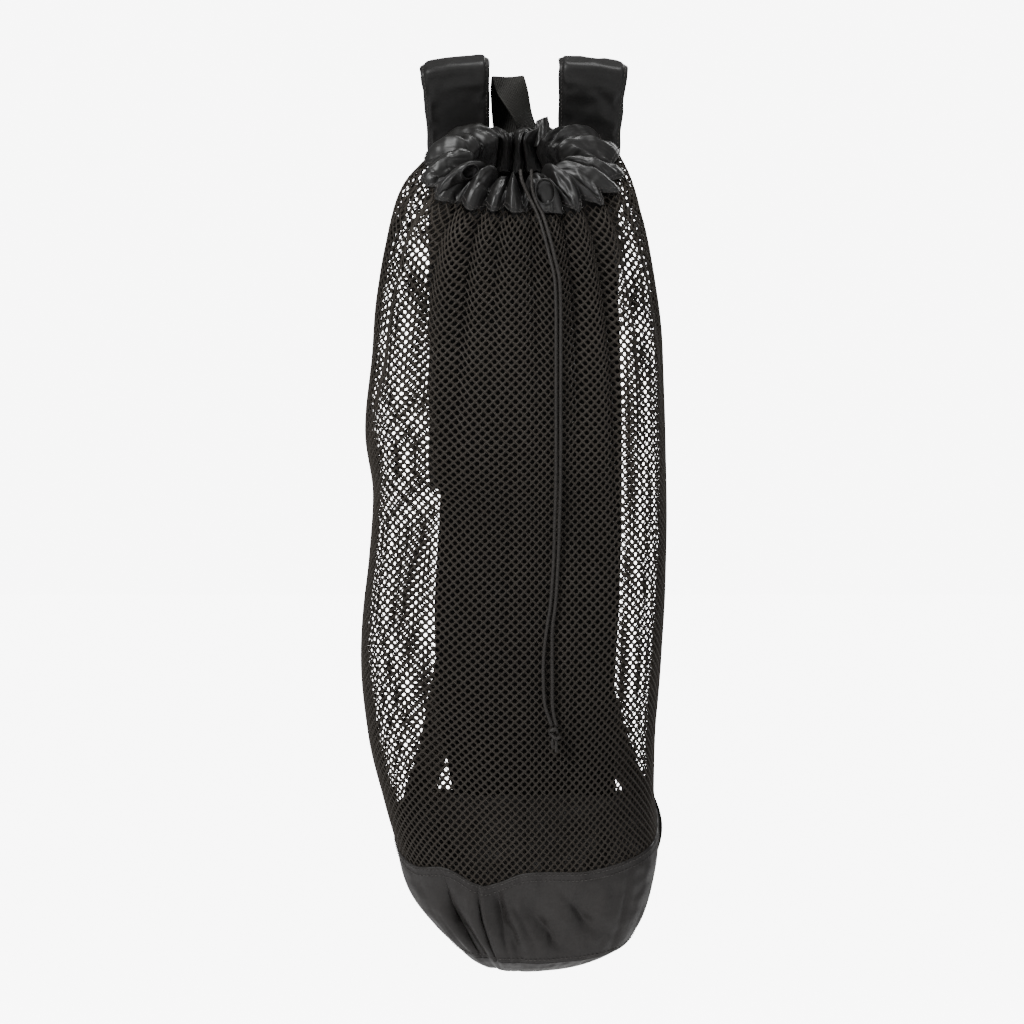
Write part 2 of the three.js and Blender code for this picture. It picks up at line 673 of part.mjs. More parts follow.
// One shoulder strap: sewn to the panel's top edge, up over the bar and down behind the panel
const padHalf = STRAP_THICK / 2;
const overBar = BAR_RADIUS + padHalf;
const FOLD_DEGREES = [150, 125, 100, 75, 45, 15];
const sewnTop = bagPoint(panelMiddle, seamDrop).z;
function strapPath(x) {
  const point = (y, z) => new THREE.Vector3(x, y, z);
  const sewn = (z) => point(backOutside(z) + padHalf + STRAP_CLEAR, z);
  const behind = (z) => point(backOutside(z) + padHalf + ARM_GAP, z);
  const over = FOLD_DEGREES.map((degrees) => {
    const turn = rad(degrees);
    return point(Math.cos(turn) * overBar, -BAR_RADIUS + Math.sin(turn) * overBar);
  });
  return new THREE.CatmullRomCurve3(
    [
      sewn(sewnTop - STRAP_SEWN),
      sewn(sewnTop - STRAP_SEWN / 2),
      point(backOutside(sewnTop) + padHalf + STRAP_CLEAR, sewnTop + STRAP_RISE),
      ...over,
      ...STRAP_FALL.map((row) => point(overBar * row.back, lerp(-BAR_RADIUS, sewnTop, row.down))),
      ...PAD_STOPS.map((part) => behind(lerp(sewnTop, -PAD_DROP, part))),
    ],
    false,
    "centripetal",
  );
}
function shoulderStrap(name, x) {
  const outline = () => padOutline(STRAP_WIDTH, STRAP_THICK, STRAP_EDGE);
  const geometry = band(strapPath(x), STRAP_STEPS, outline, () => new THREE.Vector3(1, 0, 0));
  add(name, geometry, COLOURS.strap, 0.75);
}

// Webbing from the padded strap, round the corner of the bag, to the tab at the foot
function roundTangent(share, down) {
  return bagPoint(share + PROBE, down).sub(bagPoint(share - PROBE, down)).normalize();
}
function onBag(share, down, clear) {
  return bagPoint(share, down).addScaledVector(normalAt(bagPoint, share, down), clear);
}
const tabTop = 1 - TAB_LENGTH / BODY_DROP;
const tabClear = TAB_CLEAR + TAB_THICK / 2;
function webbingPath(side) {
  const pad = strapPath(side.x);
  const leaving = pad.getTangentAt(1);
  const start = pad.getPointAt(1).addScaledVector(leaving, JOIN_GAP);
  const padDown = (-start.z - SEAM_BELOW_BAR) / BODY_DROP;
  const rest = WEBBING_RUN.map((row) => {
    const share = lerp(side.padShare, side.tabShare, row.round);
    const down = lerp(padDown, tabTop - JOIN_GAP / BODY_DROP, row.down);
    return onBag(share, down, lerp(ARM_GAP, tabClear, row.close));
  });
  const straight = start.clone().addScaledVector(leaving, WEBBING_WIDTH / 2);
  return new THREE.CatmullRomCurve3([start, straight, ...rest], false, "centripetal");
}
const WEBBING_TWIST = 1.5;
function webbingAcross(side, t) {
  const across = new THREE.Vector3(1, 0, 0).lerp(roundTangent(side.tabShare, tabTop), t ** WEBBING_TWIST);
  return across.normalize();
}
function strapWebbing(side) {
  const outline = () => rectangle(WEBBING_WIDTH, WEBBING_THICK);
  const geometry = band(webbingPath(side), WEBBING_STEPS, outline, (t) => webbingAcross(side, t));
  add(`strap_webbing_${side.name}`, geometry, COLOURS.webbing, 0.85);
}

// A plain adjuster: a flat sleeve that the webbing passes through
function strapSlider(side) {
  const curve = webbingPath(side);
  const sleeve = new THREE.Shape(padRing(SLIDER_WIDTH, SLIDER_THICK));
  sleeve.holes.push(new THREE.Path(padRing(WEBBING_WIDTH + SLOT_SIDE_ROOM, WEBBING_THICK + SLOT_THICK_ROOM)));
  const geometry = new THREE.ExtrudeGeometry(sleeve, { depth: SLIDER_HEIGHT, bevelEnabled: false });
  geometry.translate(0, 0, -SLIDER_HEIGHT / 2);
  const tangent = curve.getTangentAt(SLIDER_AT);
  const across = webbingAcross(side, SLIDER_AT);
  across.addScaledVector(tangent, -across.dot(tangent)).normalize();
  const through = new THREE.Vector3().crossVectors(tangent, across);
  geometry.applyMatrix4(new THREE.Matrix4().makeBasis(across, through, tangent));
  const at = curve.getPointAt(SLIDER_AT);
  geometry.translate(at.x, at.y, at.z);
  add(`strap_slider_${side.name}`, geometry, COLOURS.slider, 0.5);
}
function padRing(width, thick) {
  const corner = thick / 4;
  const x = width / 2;
  const y = thick / 2;
  return [
    [x, y - corner],
    [x - corner, y],
    [corner - x, y],
    [-x, y - corner],
    [-x, corner - y],
    [corner - x, -y],
    [x - corner, -y],
    [x, corner - y],
  ].map(([a, b]) => new THREE.Vector2(a, b));
}

// The tab that holds the webbing, on the skirt and a little past its lower seam
function strapAnchor(side) {
  const points = [0, 0.5, 1].map((t) => onBag(side.tabShare, lerp(tabTop, 1, t), tabClear));
  const past = points[2].clone().sub(points[1]).setLength(TAB_PAST);
  points.push(points[2].clone().add(past).addScaledVector(normalAt(bagPoint, side.tabShare, 1), TAB_PAST));
  const curve = new THREE.CatmullRomCurve3(points);
  const outline = () => rectangle(WEBBING_WIDTH, TAB_THICK);
  const geometry = band(curve, TAB_STEPS, outline, () => roundTangent(side.tabShare, 1));
  add(`strap_anchor_${side.name}`, geometry, COLOURS.tab, 0.8);
}

// The haul loop: two legs sewn behind the panel's top edge, the front one turned as it rises
function haulLoop() {
  const seat = backOutside(sewnTop - LOOP_SEWN) + WEBBING_THICK / 2 + LOOP_CLEAR;
  const points = LOOP_RUN.map((row) => {
    const rise = row.high < 0 ? row.high * LOOP_SEWN : row.high * LOOP_HEIGHT;
    return new THREE.Vector3(LOOP_X + row.aside * LOOP_SPREAD, seat + row.back * LOOP_DEPTH, sewnTop + rise);
  });
  const curve = new THREE.CatmullRomCurve3(points, false, "centripetal");
  const outline = () => rectangle(WEBBING_WIDTH, WEBBING_THICK);
  const turn = (t) => rad(LOOP_TURN_DEG) * Math.sin(Math.PI * Math.min(t / LOOP_FRONT_LEG, 1));
  const across = (t) => new THREE.Vector3(Math.cos(turn(t)), Math.sin(turn(t)), 0);
  add("haul_loop", band(curve, LOOP_STEPS, outline, across), COLOURS.loop, 0.85);
}

// The drawcord's two ends, from the gap in the casing down over the net to the knot
function cordTube(name, points) {
  const section = new THREE.Shape(
    steps(0, CORD_SIDES - 1, CORD_SIDES - 1).map((i) => {
      const turn = (TAU * i) / CORD_SIDES;
      return new THREE.Vector2(Math.cos(turn) * CORD_RADIUS, Math.sin(turn) * CORD_RADIUS);
    }),
  );
  const path = new THREE.CatmullRomCurve3(points.map(([x, y, z]) => new THREE.Vector3(x, y, z)));
  const options = { steps: CORD_STEPS, extrudePath: path, bevelEnabled: false };
  add(name, new THREE.ExtrudeGeometry(section, options), COLOURS.cord, 0.8);
}
function drawcordKnot() {
  const place = (row) => new THREE.Vector2(row.round * KNOT_RADIUS, row.high * KNOT_HEIGHT);
  const outline = KNOT_PROFILE.map(place);
  const knot = new THREE.LatheGeometry(outline, KNOT_SIDES);
  knot.rotateX(Math.PI / 2);
  const [x, y, z] = KNOT_CENTRE;
  knot.translate(x, y, z);
  add("drawcord_knot", knot, COLOURS.cord, 0.85);
}

netSide("mesh_body_right", panelRight, netSeam);
netSide("mesh_body_left", netSeam, panelLeft);
backPanel();
baseSkirt();
basePanel();
collar();
const SIDES = [
  { name: "left", x: STRAP_LEFT_X, padShare: 0.925, tabShare: 0.85 },
  { name: "right", x: STRAP_RIGHT_X, padShare: 0.08, tabShare: 0.17 },
];
for (const side of SIDES) {
  shoulderStrap(`shoulder_strap_${side.name}`, side.x);
  strapWebbing(side);
  strapSlider(side);
  strapAnchor(side);
}
haulLoop();
cordTube("drawcord_left", CORD_LEFT);
cordTube("drawcord_right", CORD_RIGHT);
drawcordKnot();

export default group;
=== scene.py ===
"""Mesh dive gear bag: the finished surfaces of a tall drawstring net bag that hangs by its shoulder straps.

Everything is worked out in millimetres, on the same surface as the frame's solids, and turned to metres
as it is made. share is a place round the bag, from the middle of the back by the right side, and down
runs from the collar's seam (0) to the base seam (1).
"""

import math

import bpy
import numpy as np
from bpy.props import FloatProperty, FloatVectorProperty, IntProperty, PointerProperty
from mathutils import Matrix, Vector


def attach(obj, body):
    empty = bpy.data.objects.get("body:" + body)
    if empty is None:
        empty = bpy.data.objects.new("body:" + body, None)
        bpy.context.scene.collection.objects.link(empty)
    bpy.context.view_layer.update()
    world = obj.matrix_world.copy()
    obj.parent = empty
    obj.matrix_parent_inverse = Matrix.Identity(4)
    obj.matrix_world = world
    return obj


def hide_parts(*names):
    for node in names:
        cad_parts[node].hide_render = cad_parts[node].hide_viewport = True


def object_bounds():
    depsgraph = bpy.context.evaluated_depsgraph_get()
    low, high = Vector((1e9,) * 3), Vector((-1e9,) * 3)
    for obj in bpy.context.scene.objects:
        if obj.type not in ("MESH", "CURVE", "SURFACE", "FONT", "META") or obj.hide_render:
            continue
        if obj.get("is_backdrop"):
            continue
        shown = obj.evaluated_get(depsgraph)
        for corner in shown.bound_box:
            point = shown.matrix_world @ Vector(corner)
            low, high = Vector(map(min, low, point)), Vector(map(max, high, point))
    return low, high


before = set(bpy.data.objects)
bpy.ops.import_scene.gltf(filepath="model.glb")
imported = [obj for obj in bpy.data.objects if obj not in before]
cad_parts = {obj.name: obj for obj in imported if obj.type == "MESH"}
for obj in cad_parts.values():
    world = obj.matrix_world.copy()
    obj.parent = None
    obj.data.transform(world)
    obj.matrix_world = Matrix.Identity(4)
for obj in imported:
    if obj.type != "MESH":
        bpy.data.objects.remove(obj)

bl_info = {
    "name": "Mesh Dive Gear Bag",
    "version": (1, 0, 0),
    "blender": (4, 5, 0),
    "location": "View3D > Sidebar > Bag",
    "description": "Makes the net, nylon, straps and cords of a mesh dive gear bag",
    "category": "Object",
}

MM = 0.001
TAU = 2 * math.pi

# Driving dimensions of the bag, as in the frame, but for a mouth and a haul loop nearer to the photograph
BODY_DROP = 584.0
BODY_WIDTH = 236.0
BODY_DEPTH = 168.0
LEAN_DEG = 6.0
FORWARD = 21.0
SEAM_BELOW_BAR = 94.0
SKIRT_HEIGHT = 76.0
PANEL_WIDTH = 150.0
PANEL_SIDE_SHIFT = 8.0
NET_SEAM_SHIFT = 24.0
BASE_BULGE = 27.0
BASE_TIP_SHIFT = -22.0
BASE_ROUNDNESS = 1.8
SEAM_GAP = 0.9
MOUTH_WIDTH = 80.0
MOUTH_DEPTH = 74.0
MOUTH_SIDE_SHIFT = -6.0
MOUTH_RISE = 2.5
MOUTH_PUCKER = 0.16
COLLAR_CREST = 11.0
COLLAR_FOLD = 9.0
FOLD_DEPTH = 5.5
FOLD_REACH = 95.0
FOLD_FADE = 1.5
BAR_RADIUS = 12.0
STRAP_WIDTH = 51.0
STRAP_THICK = 8.0
STRAP_SEWN = 26.0
STRAP_RISE = 6.0
STRAP_CLEAR = 1.6
PAD_DROP = 335.0
ARM_GAP = 17.0
WEBBING_WIDTH = 25.0
WEBBING_THICK = 2.0
JOIN_GAP = 1.5
TAB_LENGTH = 26.0
TAB_THICK = 3.0
TAB_PAST = 4.5
TAB_CLEAR = 1.2
LOOP_HEIGHT = 51.0
LOOP_DEPTH = 19.0
LOOP_X = -13.0
LOOP_SPREAD = 24.0
LOOP_SEWN = 22.0
LOOP_CLEAR = 0.6
LOOP_TURN_DEG = 55.0
LOOP_FRONT_LEG = 0.45
CORD_RADIUS = 1.4
FRONT_SQUARE = 0.035
BACK_SQUARE = 0.1


def table(columns, *rows):
    """Rows of numbers with named columns."""
    return np.array(list(rows), dtype=[(column, float) for column in columns.split()])


# Sections of the bag. left and right are shares of half the width, front and back of half the depth.
SECTIONS = table(
    "down left right front back tilt",
    (0.0, 0.64, 0.6, 0.68, 0.72, 32),
    (0.03, 0.78, 0.68, 0.76, 0.75, 31.5),
    (0.07, 0.87, 0.75, 0.83, 0.78, 30),
    (0.15, 0.96, 0.84, 0.92, 0.82, 28),
    (0.22, 1.0, 0.89, 0.98, 0.84, 26),
    (0.33, 1.06, 0.915, 1.06, 0.86, 24),
    (0.41, 1.01, 0.925, 1.04, 0.86, 23),
    (0.51, 1.04, 0.925, 1.06, 0.86, 22),
    (0.62, 1.09, 0.9, 1.06, 0.86, 22),
    (0.73, 1.05, 0.86, 1.0, 0.84, 22),
    (0.82, 0.95, 0.855, 0.94, 0.82, 23),
    (0.88, 0.865, 0.88, 0.9, 0.8, 23),
    (0.93, 0.8, 0.845, 0.86, 0.76, 23),
    (0.97, 0.65, 0.79, 0.78, 0.7, 23),
    (1.0, 0.5, 0.71, 0.7, 0.64, 23),
)

# Gathers under the collar, one row per ridge
GATHERS = table(
    "at rise reach",
    (0.0, 0.7, 0.5),
    (0.065, 0.9, 0.6),
    (0.125, 1.1, 0.7),
    (0.19, 0.9, 0.8),
    (0.255, 0.9, 0.9),
    (0.315, 1.1, 1.2),
    (0.365, 1.0, 1.5),
    (0.41, 0.9, 1.3),
    (0.457, 1.1, 1.1),
    (0.524, 1.0, 0.9),
    (0.557, 0.8, 0.9),
    (0.595, 1.2, 1.2),
    (0.655, 1.2, 1.5),
    (0.725, 1.0, 1.0),
    (0.79, 0.9, 0.8),
    (0.86, 1.2, 0.7),
    (0.93, 0.9, 0.6),
)

# Hollows (depth below 0) and swells of the cloth, in shares of the girth, the drop and the bag's depth
DENTS = table(
    "at down wide tall slant depth",
    (0.56, 0.3, 0.07, 0.07, 0.2, 0.035),
    (0.63, 0.42, 0.05, 0.05, 0.5, -0.03),
    (0.47, 0.42, 0.06, 0.16, 0.1, -0.035),
    (0.4, 0.55, 0.07, 0.16, 0.0, 0.025),
    (0.58, 0.74, 0.03, 0.15, -0.25, -0.035),
    (0.53, 0.94, 0.012, 0.05, -0.3, -0.035),
    (0.6, 0.95, 0.014, 0.06, -0.2, -0.04),
    (0.475, 0.94, 0.022, 0.035, -0.6, -0.045),
    (0.42, 0.94, 0.022, 0.035, -0.6, -0.04),
)

# The skirt's top seam, in shares of the skirt's height
SKIRT_WAVES = table(
    "at rise",
    (0.0, 0.0),
    (0.2, 0.03),
    (0.34, 0.06),
    (0.43, 0.02),
    (0.5, 0.03),
    (0.555, -0.14),
    (0.6, 0.02),
    (0.66, -0.06),
    (0.8, 0.02),
    (1.0, 0.0),
)

# The collar from the mouth's rim to its seam: how far out, how high, and how strongly gathered
COLLAR_PROFILE = table(
    "place out high fold",
    (-0.3, 0.22, -1.9, 0.35),
    (-0.12, 0.1, -0.9, 0.6),
    (0.0, 0.02, -0.2, 0.8),
    (0.12, 0.0, 0.45, 1.0),
    (0.32, 0.2, 1.0, 1.0),
    (0.58, 0.56, 1.0, 0.9),
    (0.8, 0.85, 0.6, 0.62),
    (0.92, 0.96, 0.22, 0.4),
    (1.0, 1.0, 0.0, 0.16),
)

# The webbing from the padded strap to its tab: how far round, how far down and how close to the bag
WEBBING_RUN = table(
    "round down close",
    (-0.1, 0.22, 0.2),
    (0.0, 0.45, 0.3),
    (0.5, 0.75, 0.62),
    (1.02, 0.9, 0.98),
    (1.0, 1.0, 1.0),
)

# How a strap comes down behind its fold, and the haul loop's course from its front foot to its back foot
FOLD_DEGREES = (150, 125, 100, 75, 45, 15)
STRAP_FALL = table("back down", (1.15, 0.52), (1.9, 1.08))
PAD_STOPS = (0.22, 0.6, 1.0)
LOOP_RUN = table(
    "aside back high",
    (0.75, 0.0, -1.0),
    (0.69, 0.0, 0.0),
    (0.42, -0.4, 0.42),
    (0.06, -0.4, 0.85),
    (-0.05, -0.14, 1.0),
    (-0.1, 0.34, 0.85),
    (-0.05, 0.6, 0.4),
    (0.05, 0.42, 0.0),
    (0.08, 0.34, -1.0),
)

SIDES = table("x pad_share tab_share", (-53, 0.925, 0.85), (50, 0.08, 0.17))
SIDE_NAMES = ("left", "right")

# Routes of the two ends of the drawcord and the middle of their knot
CORD_LEFT = (
    (-4.7, -95.6, -92),
    (-3.6, -98.8, -99.6),
    (-0.8, -99.4, -107),
    (3.0, -100.2, -115),
    (8.6, -103.8, -126.5),
    (13.3, -108.2, -142),
    (17.9, -111.8, -160.5),
    (21.2, -113.4, -175),
    (22.3, -114.0, -194),
    (22.4, -114.2, -226),
    (22.4, -114.2, -265),
    (22.4, -112.8, -304),
    (22.2, -110.2, -334.5),
    (21.4, -106.0, -362.5),
    (20.7, -103.2, -387.5),
    (18.3, -102.3, -422.5),
    (15.6, -101.6, -440.5),
    (13.3, -100.5, -460),
    (12.9, -99.3, -479.5),
    (14.2, -97.2, -499),
    (16.8, -96.0, -508),
    (19.6, -96.2, -515.4),
)
CORD_RIGHT = (
    (3.9, -97.2, -92),
    (4.1, -98.2, -99.6),
    (4.6, -99.6, -107),
    (6.8, -101.0, -115),
    (12.2, -106.0, -126.5),
    (17.0, -109.8, -142),
    (21.6, -112.8, -160.5),
    (24.8, -113.8, -175),
    (25.8, -114.0, -194),
    (25.9, -114.2, -226),
    (25.9, -114.2, -265),
    (25.9, -112.7, -304),
    (25.7, -110.1, -334.5),
    (25.0, -105.9, -362.5),
    (24.2, -103.2, -387.5),
    (22.0, -102.3, -422.5),
    (19.8, -101.7, -440.5),
    (19.5, -100.6, -460),
    (19.7, -99.4, -479.5),
    (19.8, -97.2, -499),
    (21.0, -96.1, -508),
    (22.9, -96.2, -515.4),
)
KNOT_CENTRE = (21.2, -96.2, -520.2)


# The cloth's surface

def along(rows, key, column, place):
    """A column's value at places along the key column, the rows joined by smooth curves."""
    keys, values = rows[key], rows[column]
    order = np.arange(len(keys))
    before = np.maximum(order - 1, 0)
    after = np.minimum(order + 1, len(keys) - 1)
    slopes = (values[after] - values[before]) / (keys[after] - keys[before])
    i = np.clip(np.searchsorted(keys, place, side="right") - 1, 0, len(keys) - 2)
    span = keys[i + 1] - keys[i]
    t = (place - keys[i]) / span
    start = (2 * t**3 - 3 * t**2 + 1) * values[i] + (t**3 - 2 * t**2 + t) * span * slopes[i]
    end = (3 * t**2 - 2 * t**3) * values[i + 1] + (t**3 - t**2) * span * slopes[i + 1]
    return start + end


def unit_section(turn):
    """A section of half width 1 and half depth 1, a little squared, at an angle from the back."""
    square = np.where(np.cos(turn) > 0, BACK_SQUARE, FRONT_SQUARE)
    across = (np.sin(turn) + square * np.sin(3 * turn)) / (1 - square)
    deep = (np.cos(turn) - square * np.cos(3 * turn)) / (1 - square)
    return across, deep


TURN_STEPS = 720
TURNS = np.linspace(0, TAU, TURN_STEPS + 1)


def girth_so_far():
    """The length round the bag's full section, from the middle of the back to each of the turns."""
    across, deep = unit_section(TURNS)
    steps = np.hypot(np.diff(across) * BODY_WIDTH, np.diff(deep) * BODY_DEPTH) / 2
    return np.concatenate([[0], np.cumsum(steps)])


GIRTH_SO_FAR = girth_so_far()
GIRTH = GIRTH_SO_FAR[-1]


def turn_at(share):
    """The angle from the back at an even share of the girth."""
    return np.interp((share - np.floor(share)) * GIRTH, GIRTH_SO_FAR, TURNS)


def between(rows, at):
    """Where places lie in a ring of rows: the row before, the share of the way on and a column's reader."""
    at = at - np.floor(at)
    ends = np.append(rows["at"], 1.0)
    i = np.clip(np.searchsorted(ends, at, side="right") - 1, 0, len(rows) - 1)
    t = (at - ends[i]) / (ends[i + 1] - ends[i])
    after = (i + 1) % len(rows)

    def blend(column):
        return rows[column][i] + (rows[column][after] - rows[column][i]) * t

    return i, t, blend


def hollows(rows, share, key, place):
    """The sum of a table's hollows (depth below 0) and swells, each fading out round its middle."""
    depth = np.zeros(np.shape(share))
    for row in rows:
        round_ = (share - row["at"] - row["slant"] * (place - row[key])) / row["wide"]
        down = (place - row[key]) / row["tall"]
        depth = depth + row["depth"] * np.exp(-(round_**2) - down**2)
    return depth


ROUND_SHARE = 0.45
VALLEY_SHARPNESS = 0.75


def gather_wave(t):
    """1 on a ridge and -1 in the valley between two, with the valley narrower than the ridge."""
    sharp = 2 * np.abs(np.cos(math.pi * t)) ** VALLEY_SHARPNESS - 1
    return ROUND_SHARE * np.cos(TAU * t) + (1 - ROUND_SHARE) * sharp


def bag_point(share, down):
    """The bag's outer surface in millimetres."""
    share, down = np.broadcast_arrays(np.asarray(share, float), np.asarray(down, float))
    across, deep = unit_section(turn_at(share))
    sideways = np.where(
        across > 0, along(SECTIONS, "down", "right", down), along(SECTIONS, "down", "left", down)
    )
    deepways = np.where(
        deep > 0, along(SECTIONS, "down", "back", down), along(SECTIONS, "down", "front", down)
    )
    side, inward = sideways * BODY_WIDTH / 2, deepways * BODY_DEPTH / 2
    tilt = np.radians(along(SECTIONS, "down", "tilt", down))
    _, t, gather = between(GATHERS, share)
    below = np.maximum(down, 0) * BODY_DROP
    fade = np.exp(-((below / (FOLD_REACH * gather("reach"))) ** FOLD_FADE))
    out = FOLD_DEPTH * gather("rise") * gather_wave(t) * fade + relief(share, down)
    out = out + BODY_DEPTH * hollows(DENTS, share, "down", down)
    facing = np.stack([across / side, deep / inward], -1)
    facing /= np.linalg.norm(facing, axis=-1, keepdims=True)
    x = across * side + facing[..., 0] * out
    deep_mm = deep * inward + facing[..., 1] * out
    lean = (down - 0.5) * BODY_DROP * math.tan(math.radians(LEAN_DEG))
    y = lean - FORWARD + deep_mm * np.cos(tilt)
    z = -SEAM_BELOW_BAR - down * BODY_DROP + deep_mm * np.sin(tilt)
    return np.stack([x, y, z], -1)


# Fine folds of the cloth: place, size and depth in millimetres
CREASES = table(
    "at down wide tall slant depth",
    (0.345, 0.16, 0.008, 0.14, 0.05, -2.6),
    (0.39, 0.2, 0.007, 0.18, 0.0, -2.8),
    (0.435, 0.17, 0.008, 0.15, 0.02, -3.0),
    (0.487, 0.14, 0.007, 0.12, -0.04, -2.4),
    (0.575, 0.12, 0.007, 0.12, 0.0, -3.0),
    (0.625, 0.15, 0.008, 0.16, 0.06, -2.8),
    (0.69, 0.18, 0.008, 0.15, 0.1, -2.4),
    (0.52, 0.42, 0.006, 0.2, 0.03, -2.0),
    (0.65, 0.55, 0.008, 0.16, -0.05, -2.0),
    (0.44, 0.62, 0.007, 0.18, 0.04, -1.8),
    (0.607, 0.94, 0.0032, 0.055, -0.04, -3.4),
    (0.618, 0.94, 0.006, 0.05, -0.04, 1.4),
    (0.565, 0.945, 0.0032, 0.055, 0.02, -4.0),
    (0.577, 0.94, 0.006, 0.05, 0.0, 1.6),
    (0.537, 0.95, 0.005, 0.05, 0.0, -2.4),
    (0.505, 0.94, 0.007, 0.04, -0.5, -2.2),
    (0.47, 0.955, 0.008, 0.022, -0.7, -2.8),
    (0.43, 0.925, 0.008, 0.028, -0.8, -2.6),
    (0.405, 0.965, 0.012, 0.012, -0.6, 2.4),
    (0.365, 0.92, 0.006, 0.05, 0.0, -2.0),
)


UNEVEN_DEPTH = 0.7
UNEVEN_START = 12.0


def relief(share, down):
    """Fine folds that run down from the gathers, and the slow unevenness of hanging cloth."""
    slow = uneven(share * 17 + 3.0, down * 9) * (1 - np.exp(-np.maximum(down, 0) * UNEVEN_START))
    return hollows(CREASES, share, "down", down) + UNEVEN_DEPTH * slow


def uneven(a, b):
    """A smooth pattern between about -1 and 1, with no repeat that shows. A caller multiplies a and b to set
    how fine it is, and adds to them to pick another stretch of it."""
    first = np.sin(a * 1.7 + 1.3 * np.sin(b * 0.9 + 0.6)) * np.cos(b * 1.3 + 0.8 * np.sin(a * 0.7))
    second = np.sin(a * 3.1 - b * 2.3 + 1.9) * np.cos(b * 3.7 + a * 0.8 + 0.4)
    return 0.65 * first + 0.35 * second


PROBE = 1e-3


def normals(surface, share, place):
    """A surface's own normals, by small steps round and down."""
    round_ = surface(share + PROBE, place) - surface(share - PROBE, place)
    down = surface(share, place + PROBE) - surface(share, place - PROBE)
    normal = np.cross(round_, down)
    return normal / np.linalg.norm(normal, axis=-1, keepdims=True)


PANEL_HALF = PANEL_WIDTH / 2 / GIRTH
PANEL_MIDDLE = PANEL_SIDE_SHIFT / GIRTH
PANEL_RIGHT = PANEL_MIDDLE + PANEL_HALF
PANEL_LEFT = 1 + PANEL_MIDDLE - PANEL_HALF
SEAM_DROP = SEAM_GAP / BODY_DROP


def skirt_top(share):
    """How far down the skirt's top seam is."""
    wave = along(SKIRT_WAVES, "at", "rise", share - np.floor(share))
    return 1 - SKIRT_HEIGHT * (1 + wave) / BODY_DROP


RING_TILT = math.radians(float(SECTIONS["tilt"][0]))
RING_UP = np.array([0, -math.sin(RING_TILT), math.cos(RING_TILT)])
RING_BACK = np.array([0, math.cos(RING_TILT), math.sin(RING_TILT)])


# Tubes of the gathered casing: how high each stands, how it leans and how deep the cleft after it is
FOLDS = table(
    "at rise lean cleft",
    (0.0, 0.5, 0.2, 0.8),
    (0.05, 0.75, -0.5, 0.9),
    (0.115, 1.2, 0.5, 0.3),
    (0.205, 1.2, -0.4, 1.0),
    (0.275, 0.7, 0.7, 0.8),
    (0.325, 1.0, 0.6, 1.0),
    (0.385, 1.25, 0.5, 1.0),
    (0.432, 0.7, 0.3, 0.8),
    (0.462, 0.5, -0.3, 1.0),
    (0.53, 0.9, -0.3, 1.0),
    (0.563, 0.45, -0.5, 0.9),
    (0.605, 1.25, -0.6, 1.0),
    (0.668, 1.25, -0.8, 1.0),
    (0.745, 1.0, -0.4, 0.9),
    (0.805, 1.15, 0.5, 0.35),
    (0.88, 1.25, 0.4, 0.9),
    (0.945, 0.7, -0.3, 0.8),
)

# Hollows in the casing: the gap that the drawcord comes out of, and the dips and creases in the folds
COLLAR_DENTS = table(
    "at place wide tall slant depth",
    (0.5, 0.4, 0.011, 0.5, 0.0, -7.0),
    (0.165, 0.5, 0.02, 0.28, 0.05, -8.0),
    (0.13, 0.3, 0.005, 0.3, -0.06, -4.0),
    (0.225, 0.6, 0.005, 0.35, 0.04, -3.5),
    (0.843, 0.5, 0.006, 0.5, 0.03, -6.5),
    (0.9, 0.4, 0.005, 0.4, -0.02, -5.0),
    (0.865, 0.35, 0.004, 0.3, -0.07, -3.5),
    (0.81, 0.5, 0.005, 0.3, 0.06, -4.0),
    (0.775, 0.6, 0.005, 0.4, 0.03, -3.0),
    (0.7, 0.65, 0.005, 0.3, -0.02, -3.5),
    (0.652, 0.7, 0.004, 0.3, 0.03, -3.0),
    (0.615, 0.75, 0.004, 0.22, -0.02, -2.5),
    (0.4, 0.7, 0.004, 0.25, 0.02, -3.0),
    (0.355, 0.6, 0.005, 0.3, 0.02, -3.5),
    (0.3, 0.5, 0.005, 0.4, -0.02, -3.5),
    (0.252, 0.45, 0.005, 0.4, 0.03, -3.5),
    (0.03, 0.2, 0.005, 0.4, 0.02, -4.0),
    (0.97, 0.2, 0.006, 0.4, -0.02, -4.5),
)

# How far the tubes lean, wander and puff, how deep the casing's crumples are, and where its inner wall ends
FOLD_LEAN = 5.5
FOLD_WANDER = 0.009
PUFFED_SHARE = 0.7
CRUMPLE = 1.7
FINE_CREASE = 0.6
INNER_EDGE = -0.3


def fold_at(share, place):
    """How high the casing stands at a place (1 on a tube, -1 between two), the tube's rise and its lean."""
    i, t, fold = between(FOLDS, share + FOLD_WANDER * uneven(share * 31, place * 2.6 + 1.0))
    apart = 2 * np.minimum(t, 1 - t)
    puffed = 2 * np.sqrt(np.maximum(1 - apart**2, 0)) - 1
    wave = PUFFED_SHARE * puffed + (1 - PUFFED_SHARE) * np.cos(TAU * t)
    return 1 - (1 - wave) * FOLDS["cleft"][i], fold("rise"), fold("lean")


